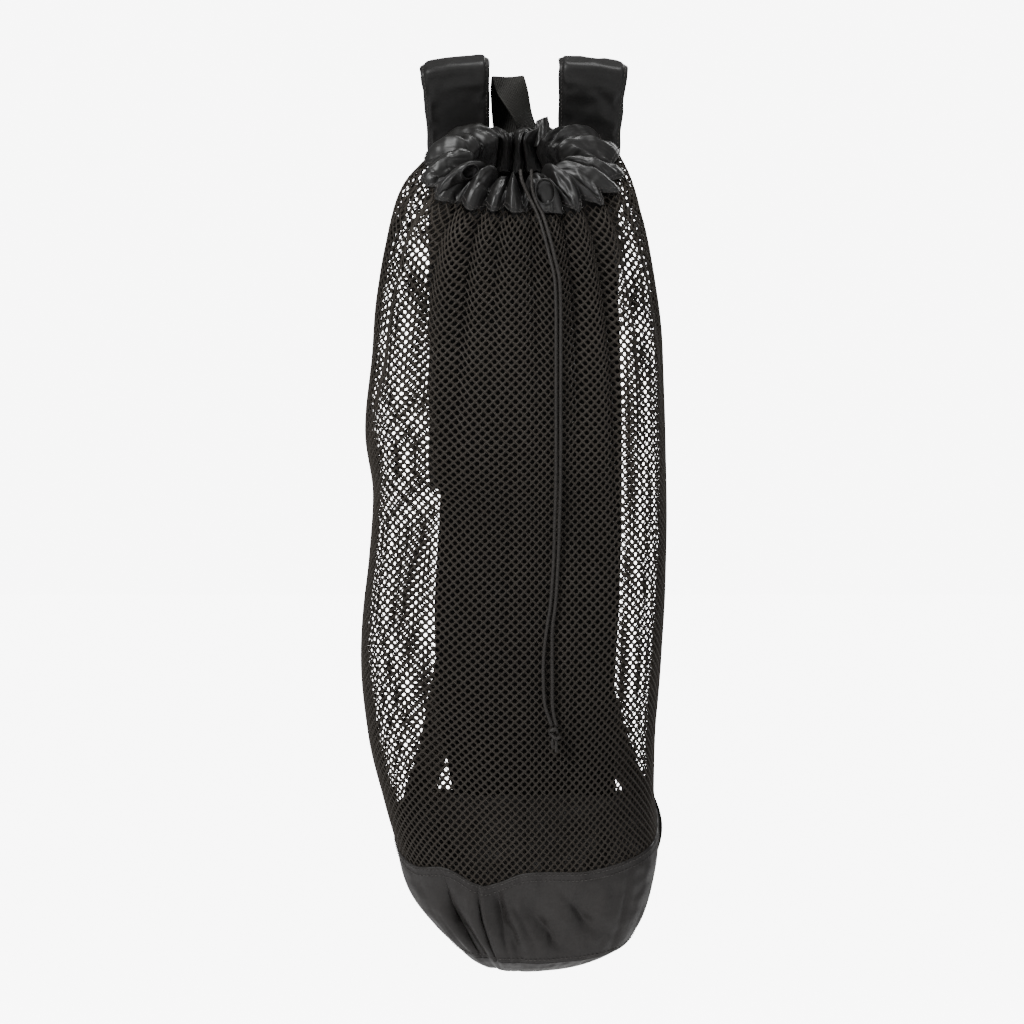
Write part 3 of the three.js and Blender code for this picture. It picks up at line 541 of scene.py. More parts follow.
def collar_point(share, place):
    """The collar's outer surface, from the mouth's rim (0) to the seam (1)."""
    share, place = np.broadcast_arrays(np.asarray(share, float), np.asarray(place, float))
    turn = turn_at(share)
    seam = bag_point(share, 0.0)
    centre = (bag_point(0.0, 0.0) + bag_point(0.5, 0.0)) / 2
    wave, rise, lean = fold_at(share, place)
    narrow = 1 - MOUTH_PUCKER * wave
    round_ring = np.stack([np.cos(turn), np.zeros(turn.shape), np.zeros(turn.shape)], -1)
    round_ring = round_ring - RING_BACK * (np.sin(turn) * MOUTH_DEPTH / MOUTH_WIDTH)[..., None]
    rim = (
        centre
        + np.array([1, 0, 0]) * (MOUTH_SIDE_SHIFT + np.sin(turn) * MOUTH_WIDTH * narrow / 2)[..., None]
        + RING_BACK * (np.cos(turn) * MOUTH_DEPTH * narrow / 2)[..., None]
        + RING_UP * MOUTH_RISE
    )
    out = along(COLLAR_PROFILE, "place", "out", place)[..., None]
    high = along(COLLAR_PROFILE, "place", "high", place)
    fold = along(COLLAR_PROFILE, "place", "fold", place)
    crest = high * COLLAR_CREST + fold * COLLAR_FOLD * rise * wave
    crest = crest + hollows(COLLAR_DENTS, share, "place", place)
    crest = crest + CRUMPLE * fold * uneven(share * 70 + np.sin(place * 4), place * 6)
    crest = crest + FINE_CREASE * (1.2 - wave) * uneven(share * 330 + 2 * place, place * 3)
    leaning = lean * FOLD_LEAN * fold * (wave + 1) / 2
    point = rim + (seam + RING_UP * SEAM_GAP - rim) * out
    return point + RING_UP * crest[..., None] + round_ring * leaning[..., None]


BASE_TILT = math.radians(float(SECTIONS["tilt"][-1]))
BASE_DOWN = np.array([0, math.sin(BASE_TILT), -math.cos(BASE_TILT)])


def base_point(share, place):
    """The base panel, from its middle (0) to the base seam (1)."""
    share, place = np.broadcast_arrays(np.asarray(share, float), np.asarray(place, float))
    seam = bag_point(share, 1.0)
    middle = (bag_point(0.25, 1.0) + bag_point(0.75, 1.0)) / 2
    middle[0] += BASE_TIP_SHIFT
    bulge = BASE_BULGE * np.cos(math.pi / 2 * np.minimum(place, 1) ** BASE_ROUNDNESS)
    return middle + (seam - middle) * place[..., None] + BASE_DOWN * (SEAM_GAP + bulge)[..., None]


BACK_REACH = 1.3 * PANEL_HALF
BACK_SHARES = np.linspace(PANEL_MIDDLE - BACK_REACH, PANEL_MIDDLE + BACK_REACH, 13)
HALVINGS = 24


def back_outside(height):
    """How far back the bag reaches at a height, over the width that the straps take."""
    low, high = np.zeros(len(BACK_SHARES)), np.ones(len(BACK_SHARES))
    for _ in range(HALVINGS):
        middle = (low + high) / 2
        above = bag_point(BACK_SHARES, middle)[:, 2] > height
        low, high = np.where(above, middle, low), np.where(above, high, middle)
    return bag_point(BACK_SHARES, low)[:, 1].max()


# Curves and bands

LINE_STEPS = 24


def smooth_line(points, spacing):
    """Points about as far apart as spacing along a centripetal Catmull-Rom curve, evenly by length."""
    p = np.asarray(points, float)
    p = np.vstack([2 * p[0] - p[1], p, 2 * p[-1] - p[-2]])
    gaps = np.maximum(np.linalg.norm(np.diff(p, axis=0), axis=1) ** 0.5, 1e-4)
    fine = []
    for i in range(1, len(p) - 2):
        before, here, after = gaps[i - 1], gaps[i], gaps[i + 1]
        step = p[i + 1] - p[i]
        leave = (p[i] - p[i - 1]) / before - (p[i + 1] - p[i - 1]) / (before + here) + step / here
        arrive = step / here - (p[i + 2] - p[i]) / (here + after) + (p[i + 2] - p[i + 1]) / after
        t = np.linspace(0, 1, LINE_STEPS, endpoint=False)[:, None]
        bend = -2 * step + (leave + arrive) * here
        ease = 3 * step - (2 * leave + arrive) * here
        fine.append(p[i] + leave * here * t + ease * t**2 + bend * t**3)
    fine = np.vstack([*fine, p[-2:-1]])
    so_far = np.concatenate([[0], np.cumsum(np.linalg.norm(np.diff(fine, axis=0), axis=1))])
    places = np.linspace(0, so_far[-1], max(2, round(so_far[-1] / spacing)) + 1)
    return np.stack([np.interp(places, so_far, fine[:, k]) for k in range(3)], -1)


def unit(vectors):
    return vectors / np.linalg.norm(vectors, axis=-1, keepdims=True)


def lengths_along(line):
    return np.concatenate([[0], np.cumsum(np.linalg.norm(np.diff(line, axis=0), axis=1))])


def band_frame(line, across):
    """Unit vectors across and through a band that follows a line."""
    tangent = unit(np.gradient(line, axis=0))
    across = unit(across - tangent * np.sum(across * tangent, axis=-1, keepdims=True))
    return across, np.cross(tangent, across), tangent


PAD_HALF = STRAP_THICK / 2
OVER_BAR = BAR_RADIUS + PAD_HALF
SEWN_TOP = float(bag_point(PANEL_MIDDLE, SEAM_DROP)[2])


def strap_line(x, spacing):
    """The middle line of one shoulder strap, from where it is sewn on, over the bar and down behind."""
    def sewn(z):
        return (x, back_outside(z) + PAD_HALF + STRAP_CLEAR, z)

    points = [sewn(SEWN_TOP - STRAP_SEWN), sewn(SEWN_TOP - STRAP_SEWN / 2)]
    points.append((x, back_outside(SEWN_TOP) + PAD_HALF + STRAP_CLEAR, SEWN_TOP + STRAP_RISE))
    for degrees in FOLD_DEGREES:
        turn = math.radians(degrees)
        points.append((x, math.cos(turn) * OVER_BAR, -BAR_RADIUS + math.sin(turn) * OVER_BAR))
    for row in STRAP_FALL:
        points.append((x, OVER_BAR * row["back"], -BAR_RADIUS + (SEWN_TOP + BAR_RADIUS) * row["down"]))
    for part in PAD_STOPS:
        z = SEWN_TOP + (-PAD_DROP - SEWN_TOP) * part
        points.append((x, back_outside(z) + PAD_HALF + ARM_GAP, z))
    return smooth_line(points, spacing)


def on_bag(share, down, clear):
    """A point that stands clear of the bag by a distance."""
    return bag_point(share, down) + normals(bag_point, share, down) * clear


TAB_TOP = 1 - TAB_LENGTH / BODY_DROP
TAB_LIFT = TAB_CLEAR + TAB_THICK / 2
WEBBING_TUCK = 5.0
WEBBING_TURN = 1.5


def webbing_line(side, spacing):
    """The webbing from the end of a padded strap, round the corner of the bag, to its tab."""
    pad = strap_line(side["x"], 2.0)
    leaving = unit(pad[-1] - pad[-2])
    start = pad[-1] + leaving * JOIN_GAP
    pad_down = (-start[2] - SEAM_BELOW_BAR) / BODY_DROP
    points = [pad[-1] - leaving * WEBBING_TUCK, start, start + leaving * WEBBING_WIDTH / 2]
    for row in WEBBING_RUN:
        share = side["pad_share"] + (side["tab_share"] - side["pad_share"]) * row["round"]
        down = pad_down + (TAB_TOP - JOIN_GAP / BODY_DROP - pad_down) * row["down"]
        points.append(on_bag(share, down, ARM_GAP + (TAB_LIFT - ARM_GAP) * row["close"]))
    return smooth_line(points, spacing)


def round_bag(share, down):
    """The direction round the bag at a place."""
    return unit(bag_point(share + PROBE, down) - bag_point(share - PROBE, down))


def webbing_across(side, count):
    """Which way the webbing is wide: along the bar at the strap, and round the bag at the tab."""
    t = np.linspace(0, 1, count)[:, None] ** WEBBING_TURN
    return unit(np.array([1.0, 0, 0]) * (1 - t) + round_bag(side["tab_share"], TAB_TOP) * t)


# Making meshes

def fill_mesh(mesh, vertices, polygons, uv=None):
    """Fills a mesh from vertices in millimetres and arrays of polygons, one array for each size."""
    loops = np.concatenate([p.ravel() for p in polygons]).astype(np.int32)
    sides = np.concatenate([np.full(len(p), p.shape[1], np.int32) for p in polygons])
    mesh.vertices.add(len(vertices))
    mesh.vertices.foreach_set("co", (vertices * MM).astype(np.float32).ravel())
    mesh.loops.add(len(loops))
    mesh.loops.foreach_set("vertex_index", loops)
    mesh.polygons.add(len(sides))
    mesh.polygons.foreach_set("loop_start", (np.cumsum(sides) - sides).astype(np.int32))
    mesh.polygons.foreach_set("use_smooth", np.ones(len(sides), bool))
    mesh.update(calc_edges=True)
    if uv is not None:
        layer = mesh.uv_layers.new(name="cloth")
        layer.data.foreach_set("uv", uv[loops].astype(np.float32).ravel())
    mesh.validate()


def new_piece(name, vertices, polygons, material, uv=None, replaces=()):
    """A piece of the bag from millimetres, riding on its body and standing for its solids in the frame."""
    mesh = bpy.data.meshes.new(name)
    fill_mesh(mesh, vertices, polygons, uv)
    mesh.materials.append(material)
    piece = bpy.data.objects.new(name, mesh)
    bpy.context.scene.collection.objects.link(piece)
    return finish_piece(piece, replaces)


def finish_piece(piece, replaces=()):
    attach(piece, "root")
    if replaces:
        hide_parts(*replaces)
    return piece


def grid_normals(grid, wrap):
    if wrap:
        round_ = np.roll(grid, -1, 1) - np.roll(grid, 1, 1)
    else:
        round_ = np.gradient(grid, axis=1)
    return unit(np.cross(round_, np.gradient(grid, axis=0)))


def grid_quads(rows, columns, wrap):
    """Quads between neighbouring points of a grid."""
    r = np.arange(rows - 1)[:, None]
    c = np.arange(columns if wrap else columns - 1)[None, :]
    after = (c + 1) % columns
    here, below = r * columns, (r + 1) * columns
    return np.stack([here + c, below + c, below + after, here + after], -1).reshape(-1, 4)


def sheet_of(grid, wall, wrap, side=1):
    """A closed sheet from its outer grid: vertices and quads. side is -1 where its normals point inwards."""
    rows, columns = grid.shape[:2]
    inner = grid - grid_normals(grid, wrap) * wall * side
    vertices = np.concatenate([grid.reshape(-1, 3), inner.reshape(-1, 3)])
    size = rows * columns
    outside = grid_quads(rows, columns, wrap)
    ring = np.arange(columns if wrap else columns - 1)
    after = (ring + 1) % columns
    last = (rows - 1) * columns
    top = np.stack([ring, after, after + size, ring + size], -1)
    bottom = np.stack([ring + last, ring + last + size, after + last + size, after + last], -1)
    faces = [outside, outside[:, ::-1] + size, top, bottom]
    if not wrap:
        edge = np.arange(rows - 1) * columns
        far = edge + columns - 1
        faces.append(np.stack([edge, edge + size, edge + columns + size, edge + columns], -1))
        faces.append(np.stack([far, far + columns, far + columns + size, far + size], -1))
    quads = np.concatenate(faces)
    return vertices, quads[:, ::-1] if side < 0 else quads


def band_of(line, across, outline):
    """A closed band along a line. outline is a closed ring of (across, through), one for all or one each."""
    sideways, through, _ = band_frame(line, across)
    outline = np.broadcast_to(outline, (len(line), *np.shape(outline)[-2:]))
    grid = (
        line[:, None]
        + sideways[:, None] * outline[..., :1]
        + through[:, None] * outline[..., 1:]
    )
    rows, columns = grid.shape[:2]
    vertices = np.concatenate([grid.reshape(-1, 3), grid[0].mean(0)[None], grid[-1].mean(0)[None]])
    ring = np.arange(columns)
    after = (ring + 1) % columns
    last = (rows - 1) * columns
    first_cap = np.stack([ring, after, np.full(columns, rows * columns)], -1)
    last_cap = np.stack([ring + last, np.full(columns, rows * columns + 1), after + last], -1)
    return vertices, [grid_quads(rows, columns, True), first_cap, last_cap]


CORNER_STEPS = 3


def box_outline(width, thick):
    """A flat outline in millimetres, its two edges fully rounded."""
    radius = thick / 2
    points = []
    for corner in range(4):
        middle_x = (width / 2 - radius) * (1 if corner in (0, 3) else -1)
        for k in range(CORNER_STEPS + 1):
            angle = math.pi / 2 * (corner + k / CORNER_STEPS)
            points.append((middle_x + radius * math.cos(angle), radius * math.sin(angle)))
    return np.array(points)


STITCH_RINGS = 5
STITCH_SIDES = 6
STITCH_BLUNT = 0.06
STITCH_RISE = 0.9
STITCH_SUNK = 0.35


def stitch_run(line, facing, length, gap, thread):
    """Stitches along a line on cloth that faces a given way: small spindles with sunken ends."""
    so_far = lengths_along(line)
    count = max(1, int(so_far[-1] / (length + gap)))
    rings, sides = STITCH_RINGS, STITCH_SIDES
    starts = (np.arange(count) + 0.5) * so_far[-1] / count - length / 2
    t = np.linspace(0, 1, rings)
    places = np.clip(starts[:, None] + t * length, 0, so_far[-1])
    middle = np.stack([np.interp(places, so_far, line[:, k]) for k in range(3)], -1)
    out = unit(np.stack([np.interp(places, so_far, facing[:, k]) for k in range(3)], -1))
    ahead = unit(np.gradient(middle, axis=1))
    aside = unit(np.cross(ahead, out))
    swell = np.sin(math.pi * (STITCH_BLUNT + (1 - 2 * STITCH_BLUNT) * t))[None, :, None]
    middle = middle + out * thread * (STITCH_RISE * swell - STITCH_SUNK)
    angles = TAU * np.arange(sides) / sides
    spokes = aside[:, :, None] * np.cos(angles)[:, None] + out[:, :, None] * np.sin(angles)[:, None]
    vertices = middle[:, :, None] + spokes * (thread / 2 * np.sqrt(swell))[..., None]
    quads = grid_quads(rings, sides, True)
    first = np.arange(sides)[None, :] * np.ones((1, 1), int)
    caps = np.concatenate([first[:, ::-1], first + (rings - 1) * sides])
    steps = np.arange(count)[:, None, None] * rings * sides
    all_quads = (quads[None] + steps).reshape(-1, 4)
    all_caps = (caps[None] + steps).reshape(-1, sides)
    return vertices.reshape(-1, 3), all_quads, all_caps


def joined(parts):
    """Several parts as one: the vertices, and the polygons as quads and end caps."""
    vertices, quads, caps = [], [], []
    start = 0
    for part_vertices, part_quads, part_caps in parts:
        vertices.append(part_vertices)
        quads.append(part_quads + start)
        caps.append(part_caps + start)
        start += len(part_vertices)
    return np.concatenate(vertices), [np.concatenate(quads), np.concatenate(caps)]


def stitching(name, runs):
    """One piece from several runs of stitches, each as (line, facing)."""
    sizes = bpy.context.scene.bag_sizes
    length, gap, thread = sizes.stitch_length / MM, sizes.stitch_gap / MM, sizes.thread_width / MM
    vertices, polygons = joined([stitch_run(line, facing, length, gap, thread) for line, facing in runs])
    return new_piece(name, vertices, polygons, material("thread"))


def seam_line(surface, shares, places, lift=0.0):
    """A line on a surface with its normals, ready for stitches."""
    shares, places = np.broadcast_arrays(np.asarray(shares, float), np.asarray(places, float))
    facing = normals(surface, shares, places)
    return surface(shares, places) + facing * lift, facing


# Materials

# A wave texture's scale for bands about one unit apart, and where a tint's dark and light colours are reached
PITCH_SCALE = 0.25
TINT_ENDS = (0.3, 0.7)


class Nodes:
    """A short way to write a material's nodes."""

    def __init__(self, name, colour, roughness, specular=0.5):
        self.material = bpy.data.materials.new(name)
        self.material.use_nodes = True
        self.tree = self.material.node_tree
        self.shader = self.tree.nodes["Principled BSDF"]
        self.shader.inputs["Base Color"].default_value = colour
        self.shader.inputs["Roughness"].default_value = roughness
        self.shader.inputs["Specular IOR Level"].default_value = specular

    def node(self, kind, **settings):
        node = self.tree.nodes.new(kind)
        for key, value in settings.items():
            if key in node.inputs:
                node.inputs[key].default_value = value
            else:
                setattr(node, key, value)
        return node

    def link(self, out, into):
        self.tree.links.new(out, into)

    def coordinates(self, kind, scale=(1, 1, 1)):
        source = self.node("ShaderNodeTexCoord")
        mapping = self.node("ShaderNodeMapping")
        mapping.inputs["Scale"].default_value = scale
        self.link(source.outputs[kind], mapping.inputs["Vector"])
        return mapping.outputs["Vector"]

    def noise(self, vector, scale, detail, roughness=0.5):
        noise = self.node("ShaderNodeTexNoise", Scale=scale, Detail=detail, Roughness=roughness)
        self.link(vector, noise.inputs["Vector"])
        return noise.outputs["Fac"]

    def wave(self, vector, pitch, direction, distortion=0.0):
        """Bands about a pitch apart, in the vector's own unit."""
        scale = PITCH_SCALE / pitch
        wave = self.node("ShaderNodeTexWave", Scale=scale, Distortion=distortion, bands_direction=direction)
        self.link(vector, wave.inputs["Vector"])
        return wave.outputs["Fac"]

    def combine(self, operation, a, b):
        """Two numbers or outputs, added or multiplied."""
        node = self.node("ShaderNodeMath", operation=operation)
        for socket, value in zip(node.inputs, (a, b)):
            if isinstance(value, (int, float)):
                socket.default_value = value
            else:
                self.link(value, socket)
        return node.outputs[0]

    def spread(self, value, low, high):
        """A value from 0 to 1 spread between two others."""
        node = self.node("ShaderNodeMapRange")
        node.inputs["To Min"].default_value = low
        node.inputs["To Max"].default_value = high
        self.link(value, node.inputs["Value"])
        return node.outputs["Result"]

    def tint(self, factor, dark, light):
        """The surface's colour runs from dark to light by the factor."""
        ramp = self.node("ShaderNodeValToRGB")
        for element, colour, place in zip(ramp.color_ramp.elements, (dark, light), TINT_ENDS):
            element.color = colour
            element.position = place
        self.link(factor, ramp.inputs["Fac"])
        self.link(ramp.outputs["Color"], self.shader.inputs["Base Color"])

    def bump(self, height, distance):
        """Bump on top of the bumps made before."""
        bump = self.node("ShaderNodeBump", Distance=distance, Strength=1.0)
        self.link(height, bump.inputs["Height"])
        if self.shader.inputs["Normal"].links:
            self.link(self.shader.inputs["Normal"].links[0].from_socket, bump.inputs["Normal"])
        self.link(bump.outputs["Normal"], self.shader.inputs["Normal"])


def shade(colour, factor):
    """A colour made darker or lighter by a factor."""
    return (*[min(1.0, c * factor) for c in colour[:3]], 1.0)


# Pitches of the threads in millimetres
RIB_PITCH = 1.1
TWILL_PITCH = 1.3
CROSS_PITCH = 0.9
YARN_PITCH = 0.42
LOOP_PITCH = 0.8

# Depths of the fine relief in metres
WEAVE_DEPTH = 0.000003
RIB_DEPTH = 0.00022
TWILL_DEPTH = 0.00016
WEBBING_UNEVEN = 0.0002
YARN_DEPTH = 0.00022
FIBRE_DEPTH = 0.00012
GRAIN_DEPTH = 0.00004


def woven(name, colour, roughness, thread, specular, folds, crumple):
    """Plain woven cloth. Its UV is in millimetres, and so is thread, the pitch of the weave. folds says how
    many fine folds a millimetre has across and along, and their depth in metres, as crumple is."""
    n = Nodes(name, colour, roughness, specular)
    cloth = n.coordinates("UV")
    warp = n.wave(cloth, thread, "X")
    weft = n.wave(cloth, thread, "Y")
    place = n.coordinates("Object")
    slow = n.noise(place, scale=9, detail=4, roughness=0.6)
    fine = n.noise(place, scale=220, detail=3, roughness=0.6)
    mixed = n.combine("ADD", n.combine("MULTIPLY", slow, 0.7), n.combine("MULTIPLY", fine, 0.3))
    n.tint(mixed, shade(colour, 0.7), shade(colour, 1.3))
    n.link(n.spread(fine, roughness - 0.05, roughness + 0.06), n.shader.inputs["Roughness"])
    across, along_, depth = folds
    stretched = n.coordinates("UV", (across, along_, 1))
    n.bump(n.noise(stretched, scale=1, detail=1, roughness=0.45), depth)
    n.bump(n.noise(place, scale=48, detail=1, roughness=0.5), crumple)
    n.bump(n.combine("MULTIPLY", warp, weft), WEAVE_DEPTH)


def ribbed(name, colour):
    """Webbing: fine ribs along it, a twill across them. Its UV is in millimetres, x across and y along."""
    n = Nodes(name, colour, roughness=0.6, specular=0.15)
    cloth = n.coordinates("UV")
    ribs = n.wave(cloth, RIB_PITCH, "X")
    twill = n.wave(cloth, TWILL_PITCH, "DIAGONAL")
    cross = n.wave(cloth, CROSS_PITCH, "Y", distortion=0.4)
    place = n.coordinates("Object")
    n.tint(n.combine("MULTIPLY", ribs, n.spread(cross, 0.55, 1.0)), shade(colour, 0.55), shade(colour, 1.45))
    n.bump(n.noise(place, scale=90, detail=3), WEBBING_UNEVEN)
    n.bump(ribs, RIB_DEPTH)
    n.bump(n.combine("MULTIPLY", twill, cross), TWILL_DEPTH)


def knitted(name, colour):
    """The net's strands: twisted yarn that runs along the bag."""
    n = Nodes(name, colour, roughness=0.45, specular=0.15)
    cloth = n.coordinates("UV")
    yarn = n.wave(cloth, YARN_PITCH, "X", distortion=1.5)
    loops = n.wave(cloth, LOOP_PITCH, "DIAGONAL", distortion=1.0)
    slow = n.noise(n.coordinates("Object"), scale=14, detail=3, roughness=0.6)
    mixed = n.combine("ADD", n.combine("MULTIPLY", yarn, 0.5), n.combine("MULTIPLY", slow, 0.5))
    n.tint(mixed, shade(colour, 0.6), shade(colour, 1.7))
    n.bump(n.combine("MULTIPLY", yarn, loops), YARN_DEPTH)


def twisted(name, colour):
    """Cord and thread: fine fibres."""
    n = Nodes(name, colour, roughness=0.55, specular=0.2)
    fibres = n.noise(n.coordinates("Object"), scale=900, detail=2)
    n.tint(fibres, shade(colour, 0.6), shade(colour, 1.5))
    n.bump(fibres, FIBRE_DEPTH)


def moulded(name, colour):
    """Matte plastic with a fine grain."""
    n = Nodes(name, colour, roughness=0.42)
    place = n.coordinates("Object")
    slow = n.noise(place, scale=60, detail=3)
    n.link(n.spread(slow, 0.34, 0.5), n.shader.inputs["Roughness"])
    n.bump(n.noise(place, scale=1400, detail=2), GRAIN_DEPTH)


# Each material's maker, its colour among the bag's colours, and its finish
FINISHES = {
    "net": (knitted, "net", {}),
    "nylon": (woven, "nylon", {
        "roughness": 0.5, "thread": 0.5, "specular": 0.18,
        "folds": (0.05, 0.017, 0.006), "crumple": 0.006,
    }),
    # Painted shade: the back panel's finish takes the near-black panel colour, which stands for the shade
    # inside the bag behind the net
    "panel_nylon": (woven, "panel", {
        "roughness": 0.6, "thread": 0.6, "specular": 0.05,
        "folds": (0.02, 0.01, 0.002), "crumple": 0.0004,
    }),
    "casing_nylon": (woven, "casing", {
        "roughness": 0.44, "thread": 0.35, "specular": 0.42,
        "folds": (0.2, 0.032, 0.0009), "crumple": 0.0014,
    }),
    "strap_nylon": (woven, "strap", {
        "roughness": 0.44, "thread": 0.55, "specular": 0.2,
        "folds": (0.03, 0.03, 0.0015), "crumple": 0.0015,
    }),
    "webbing": (ribbed, "webbing", {}),
    "cord": (twisted, "cord", {}),
    "thread": (twisted, "thread", {}),
    "slider_plastic": (moulded, "plastic", {}),
}


def material(kind):
    """The named material, made once. The solids' own plain materials keep the bare names."""
    name = f"{kind}_cloth"
    if name not in bpy.data.materials:
        maker, colour, finish = FINISHES[kind]
        maker(name, tuple(getattr(bpy.context.scene.bag_colours, colour)), **finish)
    return bpy.data.materials[name]


# Sizes and colours that a user would change

def colour_property(name, description, default):
    return FloatVectorProperty(
        name=name, description=description, default=(*default, 1.0), subtype="COLOR", size=4, min=0, max=1
    )


def length_property(name, description, default):
    return FloatProperty(
        name=name, description=description, default=default, unit="LENGTH", subtype="DISTANCE", min=0.00005
    )


class BagSizes(bpy.types.PropertyGroup):
    """Sizes of the bag's details"""

    hole_spacing: length_property("Hole spacing", "Between the net's holes in one row", 0.0066)
    hole_width: length_property("Hole width", "Width of one hole of the net", 0.0032)
    strand_thick: length_property("Strand thickness", "Thickness of the net where its strands cross", 0.0009)
    nylon_thick: length_property("Nylon thickness", "Thickness of a nylon wall", 0.0011)
    stitch_length: length_property("Stitch length", "Length of one stitch", 0.0026)
    stitch_gap: length_property("Stitch gap", "Gap between two stitches", 0.0009)
    thread_width: length_property("Thread width", "Width of the sewing thread", 0.0006)
    braid_pitch: length_property("Braid pitch", "Length of one turn of the drawcord's braid", 0.0062)
    pad_pressure: FloatProperty(
        name="Pad pressure", description="How hard the foam fills the straps", default=3.0, min=0, max=10
    )
    pad_frames: IntProperty(
        name="Pad frames", description="Frames of cloth simulation for each strap", default=14, min=1, max=40
    )


class BagColours(bpy.types.PropertyGroup):
    """Colours of the bag and the stage"""

    net: colour_property("Net", "Knitted net", (0.026, 0.0222, 0.0185))
    nylon: colour_property("Nylon", "Nylon of the skirt and the base", (0.022, 0.0202, 0.0195))
    # Painted shade: the back panel is coloured near black, far darker than the skirt's nylon, for the shade
    # inside the bag behind the net
    panel: colour_property("Back panel", "Nylon of the back panel", (0.0045, 0.0043, 0.0042))
    casing: colour_property("Casing", "Satin nylon of the collar", (0.0072, 0.0068, 0.0065))
    strap: colour_property("Strap", "Nylon of the padded straps", (0.0105, 0.0101, 0.0099))
    webbing: colour_property("Webbing", "Webbing of the loop and the straps", (0.016, 0.0154, 0.0136))
    cord: colour_property("Cord", "Braided drawcord", (0.02, 0.018, 0.0165))
    thread: colour_property("Thread", "Sewing thread", (0.045, 0.042, 0.04))
    plastic: colour_property("Plastic", "Moulded adjusters", (0.006, 0.006, 0.0065))
    floor: colour_property("Floor", "Floor and surroundings", (0.9, 0.9, 0.9))


# The stage

# In millimetres: how wide the photograph is at the bag's depth, and the middle of it (across, up)
PHOTO_WIDTH = 798.7
PHOTO_MIDDLE = (-10.9, -352.4)
CAMERA_LENS = 135.0
CAMERA_SENSOR = 36.0

# The floor, the lights and what they point at, in metres, with the lights' power in watts
FLOOR_BELOW = 0.35
FLOOR_HALF = 30.0
LIT_POINT = (0, 0, -0.35)
LIGHTS = {
    "key": {"place": (-1.4, -1.6, 0.8), "size": 0.9, "power": 62},
    "fill": {"place": (1.8, -1.6, 0.2), "size": 0.7, "power": 9},
    "top": {"place": (0.2, -0.35, 1.2), "size": 0.6, "power": 20},
    "behind": {"place": (0.9, 1.9, 0.6), "size": 1.2, "power": 22},
}
BACKDROP_BRIGHT = 8.0
SURROUNDINGS_BRIGHT = 0.3


def add_light(name, place, size, power):
    data = bpy.data.lights.new(name, "AREA")
    data.shape = "DISK"
    data.size = size
    data.energy = power
    light = bpy.data.objects.new(name, data)
    light.location = place
    light.rotation_euler = (Vector(LIT_POINT) - Vector(place)).to_track_quat("-Z", "Y").to_euler()
    light.visible_camera = False
    bpy.context.scene.collection.objects.link(light)


def backdrop_strength(tree):
    """Bright where the backdrop is seen and dim as a light, as a white sheet far behind the bag would be."""
    seen = tree.nodes.new("ShaderNodeLightPath")
    strength = tree.nodes.new("ShaderNodeMapRange")
    strength.inputs["To Min"].default_value = SURROUNDINGS_BRIGHT
    strength.inputs["To Max"].default_value = BACKDROP_BRIGHT
    tree.links.new(seen.outputs["Is Camera Ray"], strength.inputs["Value"])
    return strength.outputs["Result"]


def floor_material(colour):
    """As pale as the backdrop, so that the floor has no edge against it."""
    n = Nodes("floor", colour, roughness=0.9)
    n.shader.inputs["Emission Color"].default_value = (1, 1, 1, 1)
    n.link(backdrop_strength(n.tree), n.shader.inputs["Emission Strength"])
    return n.material


class BAG_OT_stage(bpy.types.Operator):
    """Makes the camera, the lights, the pale floor and the surroundings"""

    bl_idname = "bag.stage"
    bl_label = "Stage"

    def execute(self, context):
        scene = context.scene
        camera_data = bpy.data.cameras.new("camera")
        camera_data.lens = CAMERA_LENS
        camera_data.sensor_width = CAMERA_SENSOR
        camera = bpy.data.objects.new("camera", camera_data)
        distance = PHOTO_WIDTH * MM * CAMERA_LENS / CAMERA_SENSOR
        camera.location = (PHOTO_MIDDLE[0] * MM, -FORWARD * MM - distance, PHOTO_MIDDLE[1] * MM)
        camera.rotation_euler = (math.pi / 2, 0, 0)
        scene.collection.objects.link(camera)
        scene.camera = camera

        corners = np.array([[-1, -1, 0], [1, -1, 0], [1, 1, 0], [-1, 1, 0]]) * FLOOR_HALF / MM
        mesh = bpy.data.meshes.new("floor")
        fill_mesh(mesh, corners, [np.arange(4)[None]])
        mesh.materials.append(floor_material(tuple(scene.bag_colours.floor)))
        floor = bpy.data.objects.new("floor", mesh)
        floor.location.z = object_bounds()[0].z - FLOOR_BELOW
        scene.collection.objects.link(floor)
        floor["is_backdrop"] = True

        world = bpy.data.worlds.new("surroundings")
        world.use_nodes = True
        background = world.node_tree.nodes["Background"]
        background.inputs["Color"].default_value = (1, 1, 1, 1)
        world.node_tree.links.new(backdrop_strength(world.node_tree), background.inputs["Strength"])
        scene.world = world

        for name, light in LIGHTS.items():
            add_light(name, **light)
        return {"FINISHED"}


# The drawcord

BRAID_STRANDS = 4
BRAID_RELIEF = 0.12
CROSSING_RELIEF = 0.05
END_BLUNT = 0.3
CORD_SPACING = 0.5
CORD_SIDES = 16

# The knot in millimetres: the cord winds round its middle on lobes, and leaves by tails (aside, length)
KNOT_TURNS = 2.0
KNOT_WRAP = 2.86
KNOT_LOBE = 0.99
KNOT_HALF_HEIGHT = 3.3
KNOT_LOBE_RISE = 1.1
TAIL_START = 3.0
TAIL_RADIUS = 0.9 * CORD_RADIUS
TAILS = ((-1.2, 9.0), (1.3, 12.0))


